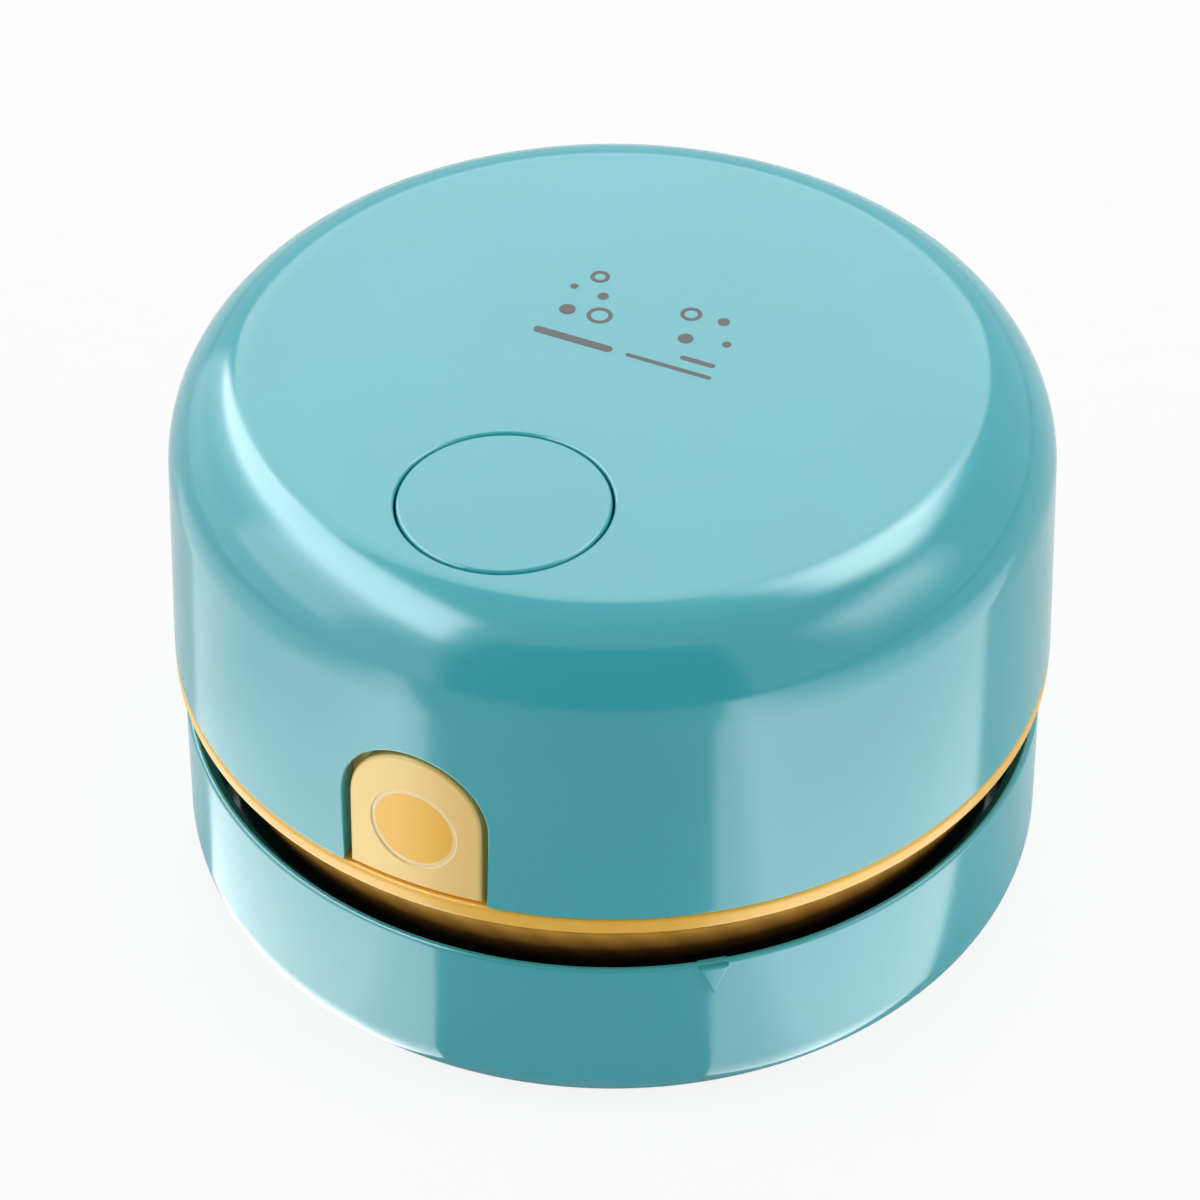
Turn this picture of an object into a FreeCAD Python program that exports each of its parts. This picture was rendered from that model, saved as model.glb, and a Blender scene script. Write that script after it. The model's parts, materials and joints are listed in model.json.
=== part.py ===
import FreeCAD, Part
import math
import os
import Sketcher

# Desktop mini vacuum cleaner. Millimetres, +Z up, origin on the desk under the middle of the
# round body. The power button and the release button are at the front, towards -Y.
#
# Every driving size is one row here: alias in the spreadsheet, value, meaning.
DIMENSIONS = [
    # outer form
    ("footGap", 1.0, "underside of the base cup above the desk"),
    ("baseTall", 18.0, "base cup, underside to rim"),
    ("grooveTall", 5.25, "open groove between rim and band"),
    ("bandTall", 1.95, "visible band of the frame ring"),
    ("housingTall", 31.0, "upper housing, bottom edge to top face"),
    ("bandRadius", 43.0, "band and bottom edge of the housing"),
    ("wallDraft", 0.8, "slope of the housing wall, bottom edge to shoulder"),
    ("shoulderShare", 0.2384, "radius of the rounded shoulder, times bandRadius"),
    ("shoulderBreak", 17.3, "degrees of shoulder left where it meets the flat top"),
    ("breakBlend", 5.0, "blend of that break"),
    ("housingWall", 1.8, "wall of the upper housing"),
    ("edgeBreak", 0.3, "small chamfer of moulded edges"),
    ("rimSet", 0.6, "base cup at its rim, inside bandRadius"),
    ("bellySet", 0.4, "base cup at its widest, inside bandRadius"),
    ("baseFootSet", 3.0, "flat underside of the base cup, inside bandRadius"),
    ("baseRound", 4.5, "height of the rounding at its bottom"),
    ("baseWall", 1.6, "wall of the base cup"),
    ("baseFloor", 2.0, "floor of the base cup"),
    # power button
    ("buttonShare", 0.2279, "radius of its cap, times bandRadius"),
    ("buttonPlace", 0.5326, "its centre in front of the middle, times bandRadius"),
    ("buttonGap", 0.2, "gap round the cap"),
    ("buttonTravel", 1.2, "its stroke"),
    ("buttonCap", 1.6, "thickness of its cap"),
    ("skirtWall", 1.2, "wall of its skirt and of the well"),
    ("wellDepth", 4.5, "well under the top that guides it"),
    ("snapReach", 1.4, "how far its snap rim stands out"),
    ("snapTall", 0.8, "height of the snap rim"),
    ("stemRadius", 2.0, "stem that pushes the switch"),
    ("ribCount", 10, "stiffening ribs inside the housing"),
    ("ribSweep", 1.7, "degrees of one rib"),
    ("ribReach", 0.9, "rib, inward"),
    ("ribTall", 13.0, "rib"),
    ("ribGap", 0.2, "rib above the neck"),
    # arch and release button
    ("archWidth", 14.7, "width of the arch cut-out"),
    ("archTall", 16.0, "height of the arch cut-out"),
    ("archFlare", 0.7, "rounding of its lower corners"),
    ("tabGap", 0.5, "gap between arch and release button"),
    ("tabRecess", 0.2, "release button behind the housing's face"),
    ("tabFlange", 1.3, "its flange behind the wall, thickness and overlap"),
    ("tabStart", 0.3, "gap between band and release button"),
    ("tabTravel", 1.2, "its stroke"),
    ("markRadius", 4.4, "round finger mark"),
    ("markLevel", 7.1, "finger mark above the housing's bottom edge"),
    ("markDepth", 0.4, "depth of the finger mark"),
    ("pawlHalf", 6.0, "degrees, half width of the pawl"),
    ("pawlThick", 1.6, "its arm, in and out"),
    ("pawlBite", 0.7, "how far its tooth reaches under the lip"),
    ("toothTall", 0.6, "height of the tooth"),
    ("pawlBridge", 1.4, "thickness of its bridge"),
    # frame
    ("deckThick", 1.5, "deck under the fan"),
    ("bandThick", 2.0, "band, in and out"),
    ("eyeRadius", 10.0, "air hole in the deck"),
    ("eyeBreak", 0.6, "chamfer of its edge"),
    ("sleeveSet", 5.8, "sleeve that plugs into the dust collar, inside bandRadius"),
    ("sleeveWall", 1.4, "its wall"),
    ("neckTall", 5.0, "neck that plugs into the housing"),
    ("neckWall", 1.4, "its wall"),
    ("neckGap", 0.3, "gap between neck and housing"),
    ("ventCount", 12, "air windows between sleeve and neck"),
    ("ventSweep", 25.0, "degrees of one window"),
    ("ventEdge", 0.3, "web left beside a window"),
    ("neckWindow", 28.0, "degrees of the neck left open for the release button"),
    ("pocketSweep", 15.5, "degrees of the pocket for the pawl"),
    ("lugSweep", 12.0, "degrees of a bayonet lug"),
    ("lugTurn", 60.0, "degrees from the front to the first lug"),
    ("lugCount", 3, "bayonet lugs"),
    ("lugTall", 1.0, "height of a lug"),
    ("lugReach", 1.1, "how far a lug stands out"),
    ("lockGap", 0.4, "play between lug, tooth and lip"),
    ("slideGap", 0.3, "play between the round faces that turn past each other"),
    ("postPlace", 0.7674, "circle of the four screw posts, times bandRadius"),
    ("postTurn", 30.0, "degrees from X to a screw post"),
    ("postSize", 2.6, "radius of a post"),
    # fan and motor
    ("fanGap", 1.0, "air over and under the impeller"),
    ("fanShare", 0.6047, "radius of the impeller, times bandRadius"),
    ("bladeTall", 5.8, "height of its blades"),
    ("bladeThick", 1.0, "thickness of a blade"),
    ("bladeStart", 9.0, "radius where the blades begin"),
    ("bladeLean", 48.0, "degrees a blade falls back from root to tip"),
    ("bladeArc", 17.0, "radius of its curve"),
    ("bladeTaper", 1.6, "height a blade loses towards its tip"),
    ("bladeCount", 11, "blades"),
    ("tipRatio", 0.7, "tip of a blade, half its width along the rim over its thickness"),
    ("backPlate", 1.2, "back plate of the impeller"),
    ("hubRadius", 4.0, "its hub"),
    ("hubDrop", 4.4, "hub under the back plate"),
    ("mountThick", 2.0, "motor plate"),
    ("mountShare", 0.7209, "radius of the motor plate, times bandRadius"),
    ("earExtra", 0.9, "ear of the motor plate round a screw post"),
    ("cupTall", 6.0, "cup round the motor"),
    ("motorShare", 0.2512, "radius of the motor can, times bandRadius"),
    ("motorDrop", 3.5, "top of the motor can below the housing's ceiling"),
    ("motorCap", 1.4, "its plastic end cap"),
    ("motorFit", 0.1, "gap round the can"),
    ("shaftRadius", 1.0, "motor shaft"),
    ("shaftFit", 0.03, "running clearance of the shaft"),
    ("shaftEnd", 0.5, "shaft past hub and end cap"),
    ("bushRadius", 3.0, "bearing bush"),
    ("bushProud", 1.3, "bush in front of the can"),
    ("bushDepth", 1.5, "bush inside the can"),
    ("motorScrewPitch", 8.0, "motor screw from the middle"),
    ("terminalWide", 2.2, "solder tab of the motor"),
    ("terminalThick", 0.4, "solder tab of the motor"),
    # battery and boards
    ("cellDrop", 1.9, "battery cell below the housing's ceiling"),
    ("cellShare", 1.1163, "length of the battery cell, times bandRadius"),
    ("cellPlace", 0.5116, "its axis behind the middle, times bandRadius"),
    ("cellLift", 2.3, "cell above the motor plate"),
    ("nubReach", 1.0, "button end of the cell"),
    ("stripThick", 0.2, "nickel strip on the cell"),
    ("saddlePitch", 14.0, "battery saddle from the middle"),
    ("saddleThick", 2.0, "battery saddle"),
    ("boardThick", 1.2, "circuit boards"),
    ("boardShare", 0.7907, "switch board, left to right, times bandRadius"),
    ("boardDrop", 8.8, "switch board below the housing's ceiling"),
    ("boardDeep", 14.0, "switch board, front to back"),
    ("boardBossPlace", 0.3302, "its screw from the middle, times bandRadius"),
    ("boardBossSize", 2.2, "radius of its screw boss"),
    ("switchSide", 8.4, "body of the push switch"),
    ("switchTall", 4.2, "body of the push switch"),
    ("plungerRadius", 1.6, "its plunger"),
    ("plungerReach", 2.4, "plunger above the switch"),
    ("plungerSunk", 1.8, "plunger inside the switch"),
    ("portWidth", 9.0, "charging socket"),
    ("portTall", 3.2, "charging socket"),
    ("portDeep", 7.4, "charging socket"),
    ("portGap", 0.3, "housing slot round the socket"),
    ("lightRadius", 0.9, "light pipe beside the socket"),
    ("lightOffset", 8.2, "light pipe from the middle"),
    ("lightInset", 0.4, "end of the light pipe behind the housing's face"),
    # dust collar and filter
    ("slitTall", 0.85, "air slit between collar and band"),
    ("collarTopSet", 1.1, "collar at its top, inside bandRadius"),
    ("collarWaistSet", 3.8, "collar where its flare begins, inside bandRadius"),
    ("collarFootSet", 5.6, "collar on the floor of the cup, inside bandRadius"),
    ("collarWall", 1.2, "collar, measured flat"),
    ("waistLift", 14.0, "start of the flare above the floor"),
    ("filterLift", 11.0, "filter step above the floor"),
    ("stepReach", 1.5, "width of the filter step"),
    ("lipSet", 0.7, "lip below the collar's top"),
    ("lipTall", 0.8, "lip"),
    ("twist", 38.0, "degrees of turn from locked to free"),
    ("filterTall", 2.6, "filter frame"),
    ("filterRing", 3.0, "filter frame, width of its ring"),
    ("filterGap", 0.4, "gap round the filter frame"),
    ("spokeCount", 6, "spokes of the filter frame"),
    ("spokeWide", 1.6, "one spoke"),
    ("spokeTall", 1.2, "one spoke"),
    ("meshThick", 0.3, "nylon mesh"),
    ("sealTall", 0.8, "rubber seal"),
    # underside
    ("mouthLong", 22.0, "suction mouth"),
    ("mouthWide", 9.0, "suction mouth"),
    ("mouthWall", 1.4, "chimney over the mouth"),
    ("mouthLevel", 12.5, "top of the chimney above the desk"),
    ("brushWell", 17.0, "radius of the recess round the mouth"),
    ("brushDepth", 1.4, "depth of that recess"),
    ("brushOffset", 9.5, "bristle bar from the middle"),
    ("brushLong", 24.0, "bristle bar"),
    ("brushBar", 2.4, "bristle bar, width"),
    ("brushSunk", 1.0, "bristle bar, height"),
    ("tuftWide", 1.2, "bristles, front to back"),
    ("tuftClear", 0.2, "bristle tips above the desk"),
    ("footPlace", 0.7442, "circle of the glide feet, times bandRadius"),
    ("footRadius", 3.0, "one glide foot"),
    ("footSunk", 0.6, "glide foot in its recess"),
    # mark, springs and screws
    ("arrowWide", 2.7, "triangle mark at the rim"),
    ("arrowTall", 3.7, "triangle mark"),
    ("arrowProud", 0.35, "triangle mark"),
    ("buttonWire", 0.25, "wire radius, button spring"),
    ("buttonCoil", 3.2, "coil radius, button spring"),
    ("tabWire", 0.2, "wire radius, release spring"),
    ("tabCoil", 1.8, "coil radius, release spring"),
    ("springTurns", 4, "turns of a spring"),
    ("pegRadius", 1.2, "peg inside the release spring"),
    ("pegReach", 1.4, "peg inside the release spring"),
    ("seatSet", 6.2, "spring seat behind the release button"),
    ("springLift", 5.2, "axis of the release spring above the deck"),
    ("seatThick", 2.0, "spring seat"),
    ("seatHalf", 3.2, "half width of the spring seat"),
    ("frameScrewLong", 16.0, "shank of a frame screw"),
    ("frameScrewRadius", 1.2, "shank of a frame screw"),
    ("smallScrewLong", 6.0, "shank of a small screw"),
    ("motorScrewLong", 3.2, "shank of a motor screw"),
    ("smallScrewRadius", 1.0, "shank of a small screw"),
    ("headRatio", 1.8, "screw head, times the shank"),
    ("headTall", 1.2, "screw head"),
    ("screwGap", 0.15, "gap round a screw in its clearance hole"),
]


class Length:
    """A number together with the spreadsheet formula that gives it."""

    def __init__(self, value, formula=None):
        self.value = float(value)
        self.formula = formula or repr(float(value))

    def __add__(self, other):
        other = asLength(other)
        return Length(self.value + other.value, f"({self.formula} + {other.formula})")

    def __sub__(self, other):
        other = asLength(other)
        return Length(self.value - other.value, f"({self.formula} - {other.formula})")

    def __mul__(self, other):
        other = asLength(other)
        return Length(self.value * other.value, f"({self.formula} * {other.formula})")

    def __truediv__(self, other):
        other = asLength(other)
        return Length(self.value / other.value, f"({self.formula} / {other.formula})")

    def __neg__(self):
        return Length(-self.value, f"(0 - {self.formula})")

    def __rsub__(self, other):
        return asLength(other) - self


def asLength(number):
    return number if isinstance(number, Length) else Length(number)


def sine(angle):
    angle = asLength(angle)
    return Length(math.sin(math.radians(angle.value)), f"sin({angle.formula} * 1 deg)")


def cosine(angle):
    angle = asLength(angle)
    return Length(math.cos(math.radians(angle.value)), f"cos({angle.formula} * 1 deg)")


def root(square):
    return Length(math.sqrt(square.value), f"sqrt({square.formula})")


def radiusAt(level, lowLevel, lowRadius, highLevel, highRadius):
    """Radius of a straight flare at one level."""
    return lowRadius + (highRadius - lowRadius) * (level - lowLevel) / (highLevel - lowLevel)


class Sheet:
    """The driving sizes, readable here as attributes that carry their formula."""

    def __init__(self, doc):
        self.sheet = doc.addObject("Spreadsheet::Sheet", "sizes")
        for row, (alias, value, meaning) in enumerate(DIMENSIONS, start=1):
            self.sheet.set(f"A{row}", alias)
            self.sheet.set(f"B{row}", str(value))
            self.sheet.set(f"C{row}", meaning)
            self.sheet.setAlias(f"B{row}", alias)
            setattr(self, alias, Length(value, f"sizes.{alias}"))


def bind(thing, prop, length):
    """Tie a property of an object to its formula."""
    thing.setExpression(prop, asLength(length).formula)


class Piece:
    """A PartDesign body whose sketches stand on its own origin planes."""

    def __init__(self, doc, name):
        self.doc = doc
        self.body = doc.addObject("PartDesign::Body", name)
        self.body.Label = name

    def origin(self, role):
        return next(f for f in self.body.Origin.OriginFeatures if f.Role == role)

    def move(self, x=None, y=None, z=None):
        for axis, length in (("x", x), ("y", y), ("z", z)):
            if length is not None:
                bind(self.body, f".Placement.Base.{axis}", length)
        return self

    def sketch(self, plane="XY_Plane", lift=None, turn=None):
        """A sketch on an origin plane, lifted along its normal, or turned about its vertical axis."""
        sketch = self.body.newObject("Sketcher::SketchObject", "sketch")
        sketch.AttachmentSupport = [(self.origin(plane), "")]
        sketch.MapMode = "FlatFace"
        if lift is not None:
            bind(sketch, "AttachmentOffset.Base.z", lift)
        if turn is not None:
            axis = FreeCAD.Vector(0, 1, 0)
            sketch.AttachmentOffset = FreeCAD.Placement(FreeCAD.Vector(), FreeCAD.Rotation(axis, turn.value))
            bind(sketch, "AttachmentOffset.Rotation.Angle", turn)
        return sketch

    def feature(self, kind, sketch=None, **properties):
        feature = self.body.newObject("PartDesign::" + kind, kind.lower())
        if sketch is not None:
            feature.Profile = sketch
        for name, value in properties.items():
            if isinstance(value, Length):
                bind(feature, name, value)
            else:
                setattr(feature, name, value)
        return self.finish(feature)

    def finish(self, feature):
        """Recompute and insist that a cutting feature really removes something."""
        before = feature.BaseFeature.Shape.Volume if feature.BaseFeature else 0.0
        self.doc.recompute()
        if "Invalid" in feature.State or "Error" in feature.State or feature.Shape.isNull():
            raise RuntimeError(f"{self.body.Label}: {feature.Name} failed")
        if feature.TypeId in ("PartDesign::Pocket", "PartDesign::Groove"):
            if feature.Shape.Volume > before - 1e-3:
                raise RuntimeError(f"{self.body.Label}: {feature.Name} cuts nothing")
        self.body.Tip = feature
        return feature

    def revolve(self, points, cut=False):
        sketch = self.sketch("XZ_Plane")
        drawOutline(sketch, points)
        kind = "Groove" if cut else "Revolution"
        return self.feature(kind, sketch, ReferenceAxis=(sketch, ["V_Axis"]), Angle=360.0)

    def pad(self, sketch, length, both=False):
        return self.feature("Pad", sketch, Length=length, Midplane=both)

    def cut(self, sketch, length, backward=False, both=False):
        """Pocket along the sketch's normal, or against it."""
        return self.feature("Pocket", sketch, Length=length, Reversed=not backward, Midplane=both)

    def ring(self, feature, count):
        pattern = self.body.newObject("PartDesign::PolarPattern", "ring")
        pattern.Originals = [feature]
        pattern.Axis = (self.origin("Z_Axis"), [""])
        pattern.Angle = 360.0
        bind(pattern, "Occurrences", count)
        return self.finish(pattern)

    def edges(self, chosen):
        """The tip and the names of its edges for which chosen(edge) is true."""
        tip = self.body.Tip
        return tip, [f"Edge{i}" for i, edge in enumerate(tip.Shape.Edges, start=1) if chosen(edge)]

    def fillet(self, radius, chosen):
        return self.feature("Fillet", Base=self.edges(chosen), Radius=radius)

    def chamfer(self, size, chosen):
        return self.feature("Chamfer", Base=self.edges(chosen), Size=size)


def circleAt(radius, level):
    """Chooser of circular edges about the Z axis."""

    def chosen(edge):
        curve = edge.Curve
        return (
            isinstance(curve, Part.Circle)
            and abs(curve.Radius - radius.value) < 1e-3
            and abs(curve.Center.z - level.value) < 1e-3
        )

    return chosen


def arcCentre(start, end, radius, side):
    """Centre of an arc from start to end; side is 1 where it lies to the left, -1 to the right."""
    dx, dy = end[0] - start[0], end[1] - start[1]
    chord = math.hypot(dx, dy)
    depth = math.sqrt(max(radius * radius - chord * chord / 4.0, 0.0))
    middle = ((start[0] + end[0]) / 2.0, (start[1] + end[1]) / 2.0)
    return FreeCAD.Vector(middle[0] - side * depth * dy / chord, middle[1] + side * depth * dx / chord, 0)


def holdArc(sketch, line, start, end, radius):
    """Fix an arc between two held ends: by its radius, or by its centre where it is a half circle."""
    width, height = end[0] - start[0], end[1] - start[1]
    if math.hypot(width.value, height.value) < 2.0 * radius.value - 1e-6:
        kind, length, place = "Radius", radius, (line,)
    elif abs(width.value) < abs(height.value):
        kind, length, place = "DistanceX", start[0] + width / 2, (-1, 1, line, 3)
    else:
        kind, length, place = "DistanceY", start[1] + height / 2, (-1, 1, line, 3)
    held = sketch.addConstraint(Sketcher.Constraint(kind, *place, length.value))
    bind(sketch, f"Constraints[{held}]", length)


def addSegment(sketch, start, end, bend):
    """A line or an arc. Returns its id and which of its ends are start and end."""
    first = FreeCAD.Vector(start[0].value, start[1].value, 0)
    last = FreeCAD.Vector(end[0].value, end[1].value, 0)
    if bend is None:
        return sketch.addGeometry(Part.LineSegment(first, last), False), 1, 2
    radius, side = bend
    centre = arcCentre(first, last, radius.value, side)
    angles = [math.atan2(p.y - centre.y, p.x - centre.x) for p in (first, last)]
    if side < 0:
        angles.reverse()
    circle = Part.Circle(centre, FreeCAD.Vector(0, 0, 1), radius.value)
    line = sketch.addGeometry(Part.ArcOfCircle(circle, angles[0], angles[1]), False)
    holdArc(sketch, line, start, end, radius)
    return (line, 1, 2) if side > 0 else (line, 2, 1)


def pinPoint(sketch, line, end, x, y):
    """Hold one end of a segment at x, y by named formulas."""
    for length, kind, axis in ((x, "DistanceX", -2), (y, "DistanceY", -1)):
        if abs(length.value) < 1e-9:
            sketch.addConstraint(Sketcher.Constraint("PointOnObject", line, end, axis))
        else:
            pinned = sketch.addConstraint(Sketcher.Constraint(kind, -1, 1, line, end, length.value))
            bind(sketch, f"Constraints[{pinned}]", length)


def drawOutline(sketch, points):
    """Closed outline. A point is (x, y) or (x, y, (radius, side)) where an arc leads to it."""
    corners = [(asLength(p[0]), asLength(p[1])) for p in points]
    segments = []
    for i, corner in enumerate(corners):
        following = (i + 1) % len(corners)
        bend = points[following][2] if len(points[following]) > 2 else None
        segments.append(addSegment(sketch, corner, corners[following], bend))
    for i, (line, start, end) in enumerate(segments):
        following, itsStart, _ = segments[(i + 1) % len(segments)]
        sketch.addConstraint(Sketcher.Constraint("Coincident", line, end, following, itsStart))
        pinPoint(sketch, line, start, *corners[i])
    return sketch


def drawCircle(sketch, x, y, radius):
    x, y, radius = asLength(x), asLength(y), asLength(radius)
    centre = FreeCAD.Vector(x.value, y.value, 0)
    circle = Part.Circle(centre, FreeCAD.Vector(0, 0, 1), radius.value)
    line = sketch.addGeometry(circle, False)
    bound = sketch.addConstraint(Sketcher.Constraint("Radius", line, radius.value))
    bind(sketch, f"Constraints[{bound}]", radius)
    pinPoint(sketch, line, 3, x, y)
    return sketch


def drawBox(sketch, left, low, right, high):
    return drawOutline(sketch, [(left, low), (right, low), (right, high), (left, high)])


def drawSector(sketch, inner, outer, middle, sweep):
    """Piece of a flat ring about the middle of an XY sketch; angles in degrees from +X."""
    first, last = middle - sweep / 2, middle + sweep / 2
    return drawOutline(
        sketch,
        [
            (inner * cosine(first), inner * sine(first), (inner, -1)),
            (outer * cosine(first), outer * sine(first)),
            (outer * cosine(last), outer * sine(last), (outer, 1)),
            (inner * cosine(last), inner * sine(last)),
        ],
    )


def drawSlot(sketch, length, width, level):
    """Slot with round ends, along the sketch's x axis at one height in it."""
    x, y = length / 2 - width / 2, width / 2
    low, high = level - y, level + y
    return drawOutline(sketch, [(-x, low, (y, 1)), (x, low), (x, high, (y, 1)), (-x, high)])


def drawArch(sketch, width, low, high):
    """Straight sides with a half-round top."""
    side = width / 2
    spring = high - side
    return drawOutline(sketch, [(-side, low), (side, low), (side, spring), (-side, spring, (side, 1))])


FRONT = Length(-90.0)
HALF_TURN = Length(180.0)


class Form:
    """Levels and radii that several pieces share, worked out from the driving sizes."""

    def __init__(self, d):
        # what follows the band's radius, by a set-back or in proportion
        self.shoulderRadius = d.bandRadius - d.wallDraft
        self.shoulderArc = d.bandRadius * d.shoulderShare
        self.rimRadius = d.bandRadius - d.rimSet
        self.bellyRadius = d.bandRadius - d.bellySet
        self.baseFootRadius = d.bandRadius - d.baseFootSet
        self.sleeveRadius = d.bandRadius - d.sleeveSet
        self.collarTopRadius = d.bandRadius - d.collarTopSet
        self.collarWaistRadius = d.bandRadius - d.collarWaistSet
        self.collarFootRadius = d.bandRadius - d.collarFootSet
        self.buttonRadius = d.bandRadius * d.buttonShare
        self.buttonOffset = d.bandRadius * d.buttonPlace
        self.postRadius = d.bandRadius * d.postPlace
        self.fanRadius = d.bandRadius * d.fanShare
        self.mountRadius = d.bandRadius * d.mountShare
        self.motorRadius = d.bandRadius * d.motorShare
        self.cellLong = d.bandRadius * d.cellShare
        self.cellOffset = d.bandRadius * d.cellPlace
        self.boardLong = d.bandRadius * d.boardShare
        self.boardBossPitch = d.bandRadius * d.boardBossPlace
        self.footCircle = d.bandRadius * d.footPlace
        # levels of the outer form
        self.floorTop = d.footGap + d.baseFloor
        self.rim = d.footGap + d.baseTall
        self.bandLow = self.rim + d.grooveTall
        self.wallLow = self.bandLow + d.bandTall
        self.top = self.wallLow + d.housingTall
        self.ceiling = self.top - d.housingWall
        self.shoulder = self.top - self.shoulderArc * cosine(d.shoulderBreak)
        self.deckLow = self.wallLow - d.deckThick
        self.neckOut = d.bandRadius - d.housingWall - d.neckGap
        self.neckIn = self.neckOut - d.neckWall
        self.neckTop = self.wallLow + d.neckTall
        # fan and motor, upwards
        self.bladeLow = self.wallLow + d.fanGap
        self.plateLow = self.bladeLow + d.bladeTall
        self.plateTop = self.plateLow + d.backPlate
        self.mountLow = self.plateTop + d.fanGap
        self.mountTop = self.mountLow + d.mountThick
        self.motorTop = self.ceiling - d.motorDrop
        self.shaftHole = d.shaftRadius + d.shaftFit
        self.cellRadius = (self.ceiling - d.cellDrop - self.mountTop - d.cellLift) / 2
        self.cellLevel = self.mountTop + d.cellLift + self.cellRadius
        # power button, downwards
        self.holeRadius = self.buttonRadius + d.buttonGap
        self.wellLow = self.ceiling - d.wellDepth
        self.boardTop = self.ceiling - d.boardDrop
        self.switchTop = self.boardTop + d.switchTall
        self.stemLow = self.switchTop + d.plungerReach
        # dust collar and what locks it
        self.collarTop = self.bandLow - d.slitTall
        self.waist = self.floorTop + d.waistLift
        self.step = self.floorTop + d.filterLift
        self.filterTop = self.step + d.filterTall
        self.sleeveLow = self.filterTop + d.slideGap + d.sealTall
        self.lipTop = self.collarTop - d.lipSet
        self.lipLow = self.lipTop - d.lipTall
        self.toothTop = self.lipLow - d.lockGap
        self.toothLow = self.toothTop - d.toothTall
        self.lugOut = self.sleeveRadius + d.lugReach
        self.lipIn = self.lugOut + d.slideGap
        self.ledgeIn = self.sleeveRadius + d.lockGap
        self.armOut = self.lipIn - d.lockGap
        self.armIn = self.armOut - d.pawlThick
        self.pocketIn = self.armIn - d.tabTravel - d.lockGap
        self.pocketLow = self.toothLow - d.lockGap * 2
        self.filterOut = self.collarAt(d, self.step) - d.collarWall - d.filterGap
        self.filterIn = self.filterOut - d.filterRing
        self.meshLow = self.step + d.spokeTall
        # release button
        self.tabWidth = d.archWidth - d.tabGap * 2
        self.tabLow = self.wallLow + d.tabStart
        self.tabHigh = self.wallLow + d.archTall - d.tabGap
        self.springLevel = self.wallLow + d.springLift
        self.seatFace = self.flangeIn(d, self.springLevel) - d.seatSet
        self.screwHole = d.frameScrewRadius + d.screwGap
        self.screwSeat = self.deckLow + d.headTall + d.screwGap
        # charging socket
        self.portLevel = self.mountTop + d.boardThick + d.portTall / 2
        self.portFace = self.wallAt(d, self.portLevel) - d.housingWall - d.slideGap
        self.boardRear = self.portFace - d.portDeep / 3

    def wallAt(self, d, level):
        """Outer radius of the housing's wall."""
        return radiusAt(level, self.wallLow, d.bandRadius, self.shoulder, self.shoulderRadius)

    def flangeIn(self, d, level):
        """Inner radius of the release button's flange."""
        return self.wallAt(d, level) - d.housingWall - d.slideGap - d.tabFlange

    def collarAt(self, d, level):
        """Outer radius of the dust collar, under or over its waist."""
        if level.value > self.waist.value:
            return radiusAt(level, self.waist, self.collarWaistRadius, self.collarTop, self.collarTopRadius)
        return radiusAt(level, self.floorTop, self.collarFootRadius, self.waist, self.collarWaistRadius)

    def posts(self, d):
        """The four screw posts, x and y."""
        x, y = self.postRadius * cosine(d.postTurn), self.postRadius * sine(d.postTurn)
        return [(x, y), (-x, y), (-x, -y), (x, -y)]

    def boardBosses(self, d):
        """The two screws of the switch board, x and y."""
        return [(self.boardBossPitch, -self.buttonOffset), (-self.boardBossPitch, -self.buttonOffset)]


def drawPosts(sketch, places, radius):
    for x, y in places:
        drawCircle(sketch, x, y, radius)
    return sketch


def drawArchCut(sketch, d, f):
    """Arch with flared lower corners, open below."""
    side, low, flare = d.archWidth / 2, f.wallLow, d.archFlare
    spring = low + d.archTall - side
    return drawOutline(
        sketch,
        [
            (-side - flare, f.bandLow),
            (side + flare, f.bandLow),
            (side + flare, low),
            (side, low + flare, (flare, -1)),
            (side, spring),
            (-side, spring, (side, 1)),
            (-side, low + flare),
            (-side - flare, low, (flare, -1)),
        ],
    )


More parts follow.
